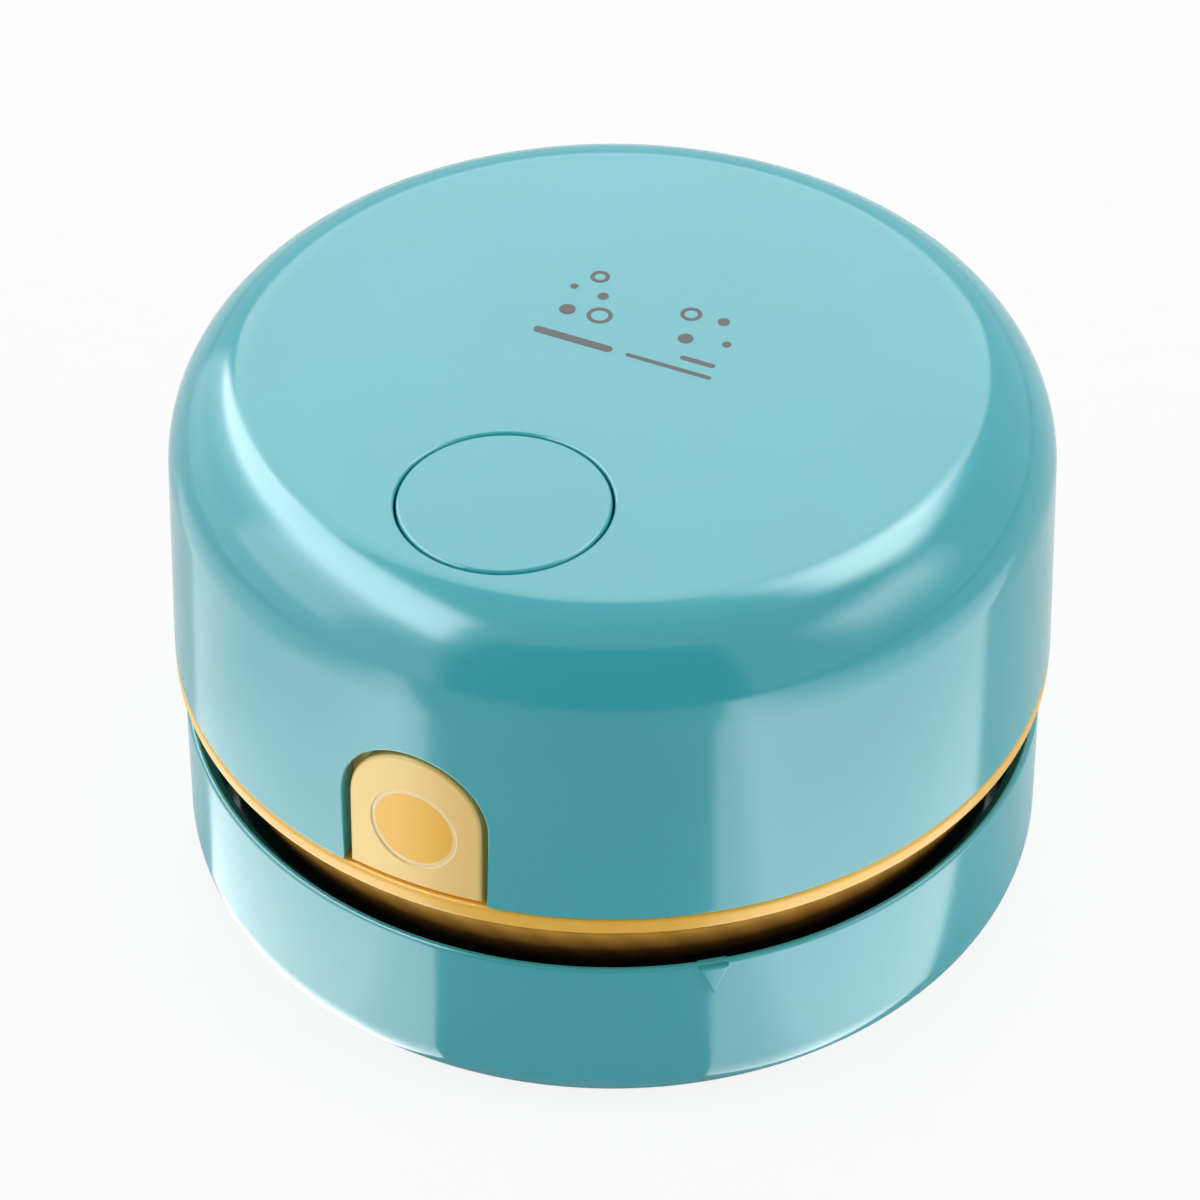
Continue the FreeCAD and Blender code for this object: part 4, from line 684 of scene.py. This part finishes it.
def makeButton(spec):
    low = level("power_button", 0)
    radius, edge = spec["radius"], spec["edge"]
    snapTop = low + spec["snapTall"]
    inner, rim, capLow = radius - spec["skirt"], radius + spec["snap"], topLevel - spec["cap"]
    outline = [(0, capLow), (inner, capLow), (inner, low), (rim, low), (rim, snapTop)]
    outline += [(radius, snapTop)]
    outline += arc(radius - edge, topLevel - edge, edge, 0, 90, 4)
    outline += [(0, topLevel)]
    cap = turned("buttonCap", outline, steps=128, closed=False)
    pick(cap)
    bpy.ops.transform.translate(value=(0, -spec["offset"] * mm, 0))
    bpy.ops.object.transform_apply(location=True)
    stemLow, stemHigh = level("switch_plunger", 1), topLevel - spec["stemTop"]
    combine(cap, peg("stem", 0, -spec["offset"], stemLow, stemHigh, spec["stem"]), "UNION")
    return smooth(cap)


seat(makeButton(button), "power_button", "teal", turquoiseShell, "power_button")
print("power button made")


# print on the top: crumbs, rings and three rounded strokes, as x, y and radius, or as the left end,
# y, length and thickness
topPrint = {
    "dots": [
        (-7.4, 5.6, 0.8),
        (-5.2, 8.9, 0.55),
        (-8.4, 9.2, 0.4),
        (4.7, 6.2, 0.75),
        (8.6, 7.0, 0.45),
        (6.9, 10.1, 0.6),
    ],
    "rings": [(-4.2, 6.0, 1.25), (-6.8, 11.6, 0.95), (3.6, 9.9, 1.05)],
    "line": 0.42,
    "strokes": [(-9.0, 1.6, 8.2, 0.95), (0.6, 1.6, 8.8, 0.5), (5.4, 3.4, 3.6, 0.6)],
    "sunk": 0.2,
}


def makePrint(spec):
    low, high = skinTop - spec["sunk"], topLevel
    parts = [peg("dot", x, y, low, high, radius, 40) for x, y, radius in spec["dots"]]
    for x, y, radius in spec["rings"]:
        ring = peg("ring", x, y, low, high, radius, 48)
        bore = peg("bore", x, y, low - spare, high + spare, radius - spec["line"], 48)
        parts.append(combine(ring, bore))
    for x, y, long, thick in spec["strokes"]:
        parts.append(upright("stroke", slotOutline(long, thick, x + long / 2, y, steps=10), low, high))
    film = parts[0]
    film.name = film.data.name = "topPrint"
    pick(film)
    for part in parts:
        part.select_set(True)
    bpy.ops.object.join()
    return smooth(film)


seat(makePrint(topPrint), "housing", "grey_plastic", padInk)
print("top print made")


band = {"thick": 1.6, "round": 0.55, "step": 0.85, "sunk": 0.3}


def makeFrame(spec):
    # the frame with its square-edged band turned off and a rounded one put on
    skin = copyNode("mid_frame", "frameSkin")
    low, high = collarTop + spec["step"], wallLow
    outer, edge, inner = bodyRadius, spec["round"], bodyRadius - spec["thick"]
    waste = [(inner, low - spare), (outer + spare, low - spare), (outer + spare, high + spare)]
    combine(skin, turned("bandCut", waste + [(inner, high + spare)]))
    outline = [(inner - spec["sunk"], low), (inner - spec["sunk"], high)]
    outline += arc(outer - edge, high - edge, edge, 90, 0, 6)
    outline += arc(outer - edge, low + edge, edge, 0, -90, 6)
    combine(skin, turned("bandRing", outline), "UNION")
    return smooth(skin)


seat(makeFrame(band), "housing", "yellow", yellowFrame, "mid_frame")
print("frame made")


tab = {
    "gap": 0.5,
    "start": 0.3,
    "recess": 0.2,  # its face behind the wall's skin
    "flange": 1.3,
    "wallGap": 2.1,  # the flange behind the wall's skin
    "sunk": 0.3,  # how far the plate reaches into the flange
    "round": 0.35,
    "sliced": 6.3,  # half the width that is sliced, to follow the wall
    "slices": 11,
    # mark: the finger mark's level and radius, the width of the pale ring painted round it as a
    # highlight, and its dish's depth and rounding
    "mark": {"level": wallLow + 7.1, "radius": 4.4, "ring": 0.4, "depth": 0.15, "round": 0.12},
    "pawl": {
        "inner": 36.6,
        "outer": 38.2,
        "toothOut": 39.3,
        "toothTall": 0.6,
        "bridgeOut": 41.2,
        "bridgeTall": 1.4,
        "sweep": 12,
    },
}


def sliceUp(piece, reach, count):
    # upright cuts across a flat piece, so that it can follow a curve
    pick(piece)
    bpy.ops.object.mode_set(mode="EDIT")
    for i in range(count):
        bpy.ops.mesh.select_all(action="SELECT")
        x = reach * (2 * i / (count - 1) - 1)
        bpy.ops.mesh.bisect(plane_co=(x * mm, 0, 0), plane_no=(1, 0, 0))
    bpy.ops.object.mode_set(mode="OBJECT")


def followWall(piece, width):
    # a flat piece drawn at the wall's skin leans back with the draft and bends round the fan's axis
    pick(piece)
    draft = math.atan2(bodyRadius - housing["shoulderRadius"], shoulderLevel(housing) - wallLow)
    piece.rotation_euler = (-draft, 0, 0)
    foot = Vector((0, 0, wallLow * mm))
    piece.location = foot - Matrix.Rotation(-draft, 3, "X") @ foot
    bpy.ops.object.transform_apply(location=True, rotation=True)
    step = piece.modifiers.new("round the wall", "SIMPLE_DEFORM")
    step.deform_method, step.deform_axis = "BEND", "Z"
    step.angle = width / bodyRadius
    bpy.ops.object.modifier_apply(modifier=step.name)
    piece.location = (0, -bodyRadius * mm, 0)
    bpy.ops.object.transform_apply(location=True)


def makeTab(spec):
    width = housing["archWidth"] - spec["gap"] * 2
    low, high = wallLow + spec["start"], wallLow + housing["archTall"] - spec["gap"]
    face, mark = spec["recess"], spec["mark"]
    plate = prism("releaseTab", archOutline(width, low, high), -spec["wallGap"] - spec["sunk"], -face)
    dish = circle(0, mark["level"], mark["radius"], 72)
    combine(plate, prism("markCut", dish, -face - mark["depth"], spare))

    def onFace(p):
        return abs(p.y - face) < hair

    def inMark(p):
        return math.hypot(p.x, p.z - mark["level"]) < mark["radius"] + mark["round"]

    roundEdges(plate, lambda p: onFace(p) and not inMark(p), spec["round"], 4)
    roundEdges(plate, lambda p: onFace(p) and inMark(p), mark["round"])
    brim = spec["flange"]
    flangeCut = archOutline(width + brim * 2, low, high + brim)
    combine(plate, prism("flange", flangeCut, -spec["wallGap"] - brim, -spec["wallGap"]), "UNION")
    sliceUp(plate, spec["sliced"], spec["slices"])
    followWall(plate, width + brim * 2)
    # pawl: bridge, arm and tooth in one outline
    pawl = spec["pawl"]
    toothLow = level("release_button", 0)
    toothHigh = toothLow + pawl["toothTall"]
    bridgeLow = low + spec["start"]
    bridgeHigh = bridgeLow + pawl["bridgeTall"]
    hook = [(pawl["inner"], toothLow), (pawl["toothOut"], toothLow), (pawl["toothOut"], toothHigh)]
    hook += [(pawl["outer"], toothHigh), (pawl["outer"], bridgeLow), (pawl["bridgeOut"], bridgeLow)]
    hook += [(pawl["bridgeOut"], bridgeHigh), (pawl["inner"], bridgeHigh)]
    combine(plate, sector("pawl", hook, -90, pawl["sweep"], steps=8), "UNION")
    return smooth(plate)


seat(makeTab(tab), "release_button", "pale_yellow", releaseTabFinish(tab["mark"]), "release_button")
print("release tab made")


collar = {
    "foot": 37.4,
    "waist": 39.2,
    "top": 41.9,
    "coneTall": 14.0,  # from the foot to the waist
    "waistLevel": 17.0,
    "wall": 1.2,
    "edge": 0.25,
    "brim": 0.35,
    "stepLevel": 11.0,  # the filter's step over the foot, and its bore
    "stepIn": 36.11,
    "lipTop": 0.7,  # lip for the pawl, down from the top
    "lipLow": 1.5,
    "lipIn": 38.6,
    "ledges": 3,  # bayonet ledges, in and out, and the degrees of each
    "ledgeIn": 37.6,
    "ledgeOut": 38.9,
    "ledgeSweep": 12,
}


def makeCollar(spec):
    low = level("dust_collar", 0)
    step, stepIn = low + spec["stepLevel"], spec["stepIn"]
    slope = (spec["top"] - spec["waist"]) / (collarTop - spec["waistLevel"])
    lipTop, lipLow, lipIn = collarTop - spec["lipTop"], collarTop - spec["lipLow"], spec["lipIn"]

    def inside(z):
        return spec["waist"] + slope * (z - spec["waistLevel"]) - spec["wall"]

    share = spec["stepLevel"] / spec["coneTall"]
    stepOut = spec["foot"] + (spec["waist"] - spec["foot"]) * share - spec["wall"]
    outline = [(stepIn, low), (spec["foot"], low), (spec["waist"], spec["waistLevel"])]
    outline += [(spec["top"] - slope * spec["edge"], collarTop - spec["edge"])]
    outline += [(spec["top"] - spec["brim"], collarTop), (inside(collarTop), collarTop)]
    outline += [(inside(lipTop), lipTop), (lipIn, lipTop), (lipIn, lipLow), (inside(lipLow), lipLow)]
    outline += [(spec["waist"] - spec["wall"], spec["waistLevel"]), (stepOut, step), (stepIn, step)]
    ring = turned("dustCollar", outline)
    near, far = spec["ledgeIn"], spec["ledgeOut"]
    corners = [(near, lipLow), (far, lipLow), (far, lipTop), (near, lipTop)]
    for i in range(spec["ledges"]):
        middle = -30 + 360 / spec["ledges"] * i
        combine(ring, sector("ledge", corners, middle, spec["ledgeSweep"], steps=8), "UNION")
    return smooth(ring)


seat(makeCollar(collar), "dust_cup", "smoke", smokedCollar, "dust_collar")
print("dust collar made")


cup = {
    "rim": 42.4,
    "belly": 42.6,
    "foot": 40.0,
    "roundTall": 4.5,
    "wall": 1.6,
    "floor": 2.0,
    "rimRound": 0.4,
    "lip": 0.55,
    "lipFall": 1.35,  # the rim's inside slopes down this far
    "well": 17.0,  # shallow round recess in the underside
    "wellDepth": 1.4,
    "wellEdge": 0.2,
    "keyIn": 37.7,  # low ring on the floor that centres the collar
    "keyOut": 38.6,
    "keyTall": 1.6,
    "plateIn": 17.6,  # raised floor over the recess
    "plateOut": 19.0,
    "plateTall": 1.4,
    "mouthLong": 22.0,
    "mouthWide": 9.0,
    "mouthWall": 1.4,
    "mouthTop": 12.5,
    "mouthRound": 0.3,
    "sunk": 0.5,
}


def makeCup(spec):
    low = level("base_cup", 0)
    floor = low + spec["floor"]
    belly = low + spec["roundTall"]
    across = spec["belly"] - spec["foot"]
    bend = (across**2 + spec["roundTall"] ** 2) / (across * 2)
    start = -math.degrees(math.asin(spec["roundTall"] / bend))
    edge, wall = spec["rimRound"], spec["wall"]
    wellTop = low + spec["wellDepth"]
    well, corner = spec["well"], spec["wellEdge"]
    outline = [(0, wellTop), (well - corner, wellTop), (well, wellTop - corner)]
    outline += [(well, low + corner), (well + corner, low)]
    outline += arc(spec["belly"] - bend, belly, bend, start, 0, 20)
    rim = spec["rim"]
    outline += arc(rim - edge, deskToRim - edge, edge, 0, 90, 6)
    outline += [(rim - spec["lip"], deskToRim), (rim - wall, deskToRim - spec["lipFall"])]
    outline += [(spec["belly"] - wall, belly), (spec["foot"] - wall / 2, floor)]
    keyTop, plateTop = floor + spec["keyTall"], floor + spec["plateTall"]
    near, far = spec["keyIn"], spec["keyOut"]
    outline += [(far, floor), (far, keyTop), (near, keyTop), (near, floor)]
    outline += [(spec["plateOut"], floor), (spec["plateIn"], plateTop), (0, plateTop)]
    shell = turned("baseCup", outline, closed=False)
    long, wide, high = spec["mouthLong"], spec["mouthWide"], spec["mouthTop"]
    around = spec["mouthWall"] * 2
    chimney = upright("chimney", slotOutline(long + around, wide + around), floor + spec["sunk"], high)
    combine(shell, chimney, "UNION")
    combine(shell, upright("mouth", slotOutline(long, wide), -spare, high + spare))

    def onMouth(p):
        lip = abs(p.z - wellTop) < hair or abs(p.z - high) < hair
        x = max(abs(p.x) - (long - wide) / 2, 0)
        return lip and abs(math.hypot(x, p.y) - wide / 2) < hair * 2

    roundEdges(shell, onMouth, spec["mouthRound"])
    # recesses for bars and feet, taken from the nodes that sit in them
    for node in ("bristle_bar_front", "bristle_bar_rear"):
        first, last = (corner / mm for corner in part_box(node))
        outline = [(first.x, first.y), (last.x, first.y), (last.x, last.y), (first.x, last.y)]
        combine(shell, upright("groove", outline, low, last.z))
    for number in range(1, 5):
        first, last = (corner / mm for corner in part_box(f"glide_foot_{number}"))
        middle = (first + last) / 2
        combine(shell, peg("recess", middle.x, middle.y, low - spare, last.z, (last.x - first.x) / 2))
    return smooth(shell)


# raised triangle that points down from the rim; turn is its place, in degrees from the front
arrow = {"half": 1.4, "tall": 3.7, "under": 0.1, "turn": 38.0, "sunk": 0.8, "proud": 0.5, "round": 0.22}


def makeArrow(spec):
    half, low, high = spec["half"], deskToRim - spec["tall"], deskToRim - spec["under"]
    corners = [(0, low), (half, high), (-half, high)]
    start, end = cup["rim"] - spec["sunk"], cup["rim"] + spec["proud"]
    piece = prism("rimArrow", corners, start, end, turn=spec["turn"])

    def standsOut(p):
        return math.hypot(p.x, p.y) > cup["rim"] - spec["round"]

    return smooth(roundEdges(piece, standsOut, spec["round"], 2))


seat(makeCup(cup), "dust_cup", "teal", turquoiseShell, "base_cup")
seat(makeArrow(arrow), "dust_cup", "teal", turquoiseShell)
print("base cup made")


# filaments thicker and wider apart than real ones, so that single ones show
bristles = {"pitch": 0.4, "rows": 3, "radius": 0.11, "sides": 5, "sunk": 0.3}


def makeBristles(node, spec):
    first, last = (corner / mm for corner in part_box(node))
    pitch = spec["pitch"]
    columns = int((last.x - first.x) / pitch)
    tuft = peg("tuft_" + node, 0, 0, first.z, last.z + spec["sunk"], spec["radius"], spec["sides"])
    along = tuft.modifiers.new("along", "ARRAY")
    along.count, along.use_relative_offset, along.use_constant_offset = columns, False, True
    along.constant_offset_displace = (pitch * mm, 0, 0)
    across = tuft.modifiers.new("across", "ARRAY")
    across.count, across.use_relative_offset, across.use_constant_offset = spec["rows"], False, True
    across.constant_offset_displace = (pitch / 2 * mm, pitch * mm, 0)
    pick(tuft)
    bpy.ops.object.modifier_apply(modifier="along")
    bpy.ops.object.modifier_apply(modifier="across")
    middle = (first + last) / 2
    start = Vector((first.x + pitch / 4, middle.y - pitch * (spec["rows"] - 1) / 2, 0))
    bpy.ops.transform.translate(value=start * mm)
    bpy.ops.object.transform_apply(location=True)
    return tuft


for node in ("bristles_front", "bristles_rear"):
    seat(makeBristles(node, bristles), "dust_cup", "bristle_nylon", bristleNylon, node)
print("bristles made")


def makeSpring(joint, part):
    # a spring is held at one end, along x, y or z; its coil is carried over as a smooth copy that keeps
    # its length
    node, axis = part["node"], part["mode"][-1]
    way = "xyz".index(axis)
    coil = smooth(copyNode(node, "coil_" + node), 60)
    seat(coil, joint["parent"], "spring_steel", shaftSteel, node)
    low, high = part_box(node)
    fixed = part[f"fixed_end_{axis}_m"]
    anchor = (low + high) / 2
    anchor[way] = fixed
    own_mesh(coil)


for joint in frame["joints"]:
    for part in joint.get("deforming_nodes", []):
        makeSpring(joint, part)
print("springs made")


# size in metres; under and grain in millimetres; whitened is how much of it the camera sees as white
floorBoard = {
    "size": 6.0,
    "under": 0.02,
    "shade": "#F4F4F4",
    "tone": "#F7F7F7",
    "grain": 5.0,
    "whitened": 0.88,
}


def makeFloor(spec):
    # matt paper, pale and even, which keeps the object's soft shadow
    clear()
    bpy.ops.mesh.primitive_plane_add(size=spec["size"], location=(0, 0, -spec["under"] * mm))
    floor = bpy.context.object
    floor.name = "floor"
    material, tree, place = newMaterial("Paper, matt white")
    grain = addNode(tree, "TexNoise", {"Scale": 1 / (spec["grain"] * mm)}, {"Vector": place})
    stops = [(0.4, spec["shade"]), (0.6, spec["tone"])]
    colour = addNode(tree, "ValToRGB", links={"Fac": grain}, stops=stops)
    matt = {"Roughness": 0.9, "Specular IOR Level": 0.1}
    paper = addNode(tree, "BsdfPrincipled", matt, {"Base Color": colour})
    plain = addNode(tree, "Emission", {"Color": linear("#FFFFFF"), "Strength": 1.0})
    seen = addNode(tree, "LightPath").outputs["Is Camera Ray"]
    share = addNode(tree, "Math", {"operation": "MULTIPLY", 1: spec["whitened"]}, {0: seen})
    mixed = addNode(tree, "MixShader", links={"Fac": share, 1: paper, 2: plain})
    addNode(tree, "OutputMaterial", links={"Surface": mixed})
    floor.data.materials.append(material)


# metres, degrees round from the front and up from the desk, and the lens in millimetres
camera = {
    "target": Vector((0, 0, 0.0277)),
    "distance": 0.422,
    "turn": 25.3,
    "rise": 40.7,
    "lens": 128.8,
    "shift": -0.0105,
}

# turn and rise in degrees as seen from the object, turn counted from the camera's side; away, high
# and size in metres; glow is the power for each quarter square metre of lamp. Cards only show as
# reflections, and a fade gives the brightness across a lamp's width and up its height.
softEdge = [(0.0, "#000000"), (0.3, "#FFFFFF"), (0.7, "#FFFFFF"), (1.0, "#000000")]
lowFade = [(0.0, "#000000"), (0.25, "#8C8C8C"), (0.5, "#E6E6E6"), (0.7, "#FFFFFF"), (1.0, "#000000")]
even = [(0.0, "#FFFFFF"), (1.0, "#FFFFFF")]
lamps = {
    "backSoftbox": {"turn": 180, "rise": 42, "away": 0.9, "size": (0.8, 0.55), "glow": 1.9},
    "leftSoftbox": {"turn": -85, "rise": 28, "away": 0.8, "size": (0.5, 0.5), "glow": 1.5},
    "rightSoftbox": {
        "turn": 75,
        "rise": 28,
        "away": 0.8,
        "size": (0.6, 0.6),
        "glow": 3.1,
        "fade": (softEdge, lowFade),
    },
    "leftCard": {
        "turn": -95,
        "away": 0.4,
        "high": 0.4,
        "lean": 13.5,
        "size": (1.0, 1.1),
        "glow": 7.4,
        "card": True,
        "fade": (even, [(0.34, "#575757"), (0.46, "#888888"), (0.54, "#FFFFFF"), (1.0, "#E0E0E0")]),
    },
    "streakCard": {
        "turn": 125,
        "rise": 58,
        "away": 0.6,
        "size": (0.5, 0.3),
        "glow": 7.0,
        "card": True,
        "fade": (softEdge, softEdge),
    },
}

# cards that lie beside the object: the near edge runs from the wall's foot, at foot degrees from the
# camera's side, along the way that the camera's rays are thrown there, so the wall shows it as an
# upright edge; outwards is the brightness from that edge on
tableCards = {
    "leftTableCard": {
        "foot": -23.7,
        "long": 0.5,
        "wide": 0.16,
        "lift": 0.0004,
        "glow": 3.3,
        "outwards": [
            (0.045, "#DCDCDC"),
            (0.07, "#EDEDED"),
            (0.24, "#BCBCBC"),
            (0.42, "#828282"),
            (1.0, "#595959"),
        ],
    },
    "rightTableCard": {
        "foot": 12.8,
        "long": 0.5,
        "wide": 0.16,
        "lift": 0.0004,
        "glow": 2.9,
        "outwards": [
            (0.04, "#D6D6D6"),
            (0.08, "#FFFFFF"),
            (0.25, "#E0E0E0"),
            (0.5, "#B0B0B0"),
            (1.0, "#7C7C7C"),
        ],
    },
}

# a dark card behind the camera, in metres, which deepens what the front of the shoulder shows
darkCard = {"away": 0.62, "wide": 0.86, "tall": 1.0, "shift": -0.07, "nap": 300.0}


def outward(turn, rise):
    around = math.radians(camera["turn"] + turn)
    flat = math.cos(math.radians(rise))
    return Vector((math.sin(around) * flat, -math.cos(around) * flat, math.sin(math.radians(rise))))


def fadeLamp(softbox, across, upwards):
    # brightness over the lamp's own face
    softbox.data.use_nodes = True
    tree = softbox.data.node_tree
    tree.nodes.clear()
    spot = addNode(tree, "NewGeometry").outputs["Parametric"]
    split = addNode(tree, "SeparateXYZ", links={"Vector": spot}).outputs
    first = addNode(tree, "ValToRGB", links={"Fac": split["X"]}, stops=across)
    second = addNode(tree, "ValToRGB", links={"Fac": split["Y"]}, stops=upwards)
    product = {"data_type": "RGBA", "blend_type": "MULTIPLY", "Factor": 1.0}
    both = addNode(tree, "Mix", product, {6: first, 7: second}).outputs[2]
    glow = addNode(tree, "Emission", links={"Color": both})
    addNode(tree, "OutputLight", links={"Surface": glow})


def makeLamp(name, place, facing, lamp):
    clear()
    bpy.ops.object.light_add(type="AREA", location=place)
    softbox = bpy.context.object
    softbox.name = softbox.data.name = name
    softbox.data.shape = "RECTANGLE"
    softbox.data.size, softbox.data.size_y = lamp["size"]
    softbox.data.energy = lamp["glow"] * 4 * lamp["size"][0] * lamp["size"][1]
    softbox.rotation_euler = facing
    softbox.visible_camera = False
    softbox.visible_diffuse = not lamp.get("card", False)
    if "fade" in lamp:
        fadeLamp(softbox, *lamp["fade"])


def makeLamps(spec):
    for name, lamp in spec.items():
        if "high" in lamp:  # upright, standing beside the object
            away = outward(lamp["turn"], 0)
            place = away * lamp["away"] + Vector((0, 0, lamp["high"]))
            facing = away.to_track_quat("Z", "Y") @ Quaternion((0, 0, 1), math.radians(lamp["lean"]))
        else:
            away = outward(lamp["turn"], lamp["rise"])
            place = camera["target"] + away * lamp["away"]
            facing = away.to_track_quat("Z", "Y")
        makeLamp(name, place, facing.to_euler(), lamp)


def makeTableCards(spec):
    for name, card in spec.items():
        side = math.copysign(1, card["foot"])
        foot = outward(card["foot"], 0) * bodyRadius * mm
        along = outward(card["foot"] * 2, 0)
        across = Vector((-along.y, along.x, 0)) * side
        place = foot + along * card["long"] / 2 + across * card["wide"] / 2
        place.z = card["lift"]
        turn = math.atan2(along.y, along.x)
        outwards = card["outwards"]
        if side > 0:
            outwards = [(1.0 - position, code) for position, code in reversed(outwards)]
        fade = (even, outwards)
        lamp = {"size": (card["long"], card["wide"]), "glow": card["glow"], "card": True, "fade": fade}
        makeLamp(name, place, (math.pi, 0, turn), lamp)


def makeDarkCard(spec):
    clear()
    bpy.ops.mesh.primitive_plane_add(size=1.0)
    card = bpy.context.object
    card.name = "darkCard"
    card.scale = (spec["wide"], spec["tall"], 1)
    facing = outward(0, 0)
    card.rotation_euler = facing.to_track_quat("Z", "Y").to_euler()
    aside = Vector((-facing.y, facing.x, 0)) * spec["shift"]
    card.location = facing * spec["away"] + aside + Vector((0, 0, spec["tall"] / 2))
    bpy.ops.object.transform_apply(location=True, rotation=True, scale=True)
    material, tree, place = newMaterial("Felt, black")
    # black felt: a soft nap that gives back next to nothing
    nap = addNode(tree, "TexNoise", {"Scale": spec["nap"]}, {"Vector": place})
    stops = [(0.4, "#050505"), (0.6, "#0A0A0A")]
    colour = addNode(tree, "ValToRGB", links={"Fac": nap}, stops=stops)
    finishShader(tree, {"Roughness": 1.0, "Specular IOR Level": 0.0}, {"Base Color": colour})
    card.data.materials.append(material)
    card.visible_camera = card.visible_diffuse = card.visible_shadow = card.visible_transmission = False


# strengths of the white all round: what lights the object, and what is seen, straight or mirrored
studio = {"level": 0.44, "seen": 1.0}


def makeWorld(spec):
    world = bpy.data.worlds.new("studio")
    bpy.context.scene.world = world
    world.use_nodes = True
    tree = world.node_tree
    tree.nodes.clear()
    seen = addNode(tree, "LightPath").outputs
    either = {"operation": "MAXIMUM"}
    direct = {0: seen["Is Camera Ray"], 1: seen["Is Transmission Ray"]}
    straight = addNode(tree, "Math", either, direct)
    shown = addNode(tree, "Math", either, {0: straight, 1: seen["Is Glossy Ray"]})
    dim, white = (
        addNode(tree, "Background", {"Color": linear("#FFFFFF"), "Strength": strength})
        for strength in (spec["level"], spec["seen"])
    )
    mixed = addNode(tree, "MixShader", links={"Fac": shown, 1: dim, 2: white})
    addNode(tree, "OutputWorld", links={"Surface": mixed})


def makeCamera(spec):
    back = outward(0, spec["rise"])
    clear()
    bpy.ops.object.camera_add(location=spec["target"] + back * spec["distance"])
    eye = bpy.context.object
    eye.rotation_euler = back.to_track_quat("Z", "Y").to_euler()
    eye.data.lens = spec["lens"]
    eye.data.sensor_width = 36.0
    eye.data.shift_x = spec["shift"]
    eye.data.clip_start = 0.01
    bpy.context.scene.camera = eye


makeFloor(floorBoard)
makeLamps(lamps)
makeTableCards(tableCards)
makeDarkCard(darkCard)
makeWorld(studio)
makeCamera(camera)
bpy.context.scene.view_settings.view_transform = "Standard"
print("stage set")
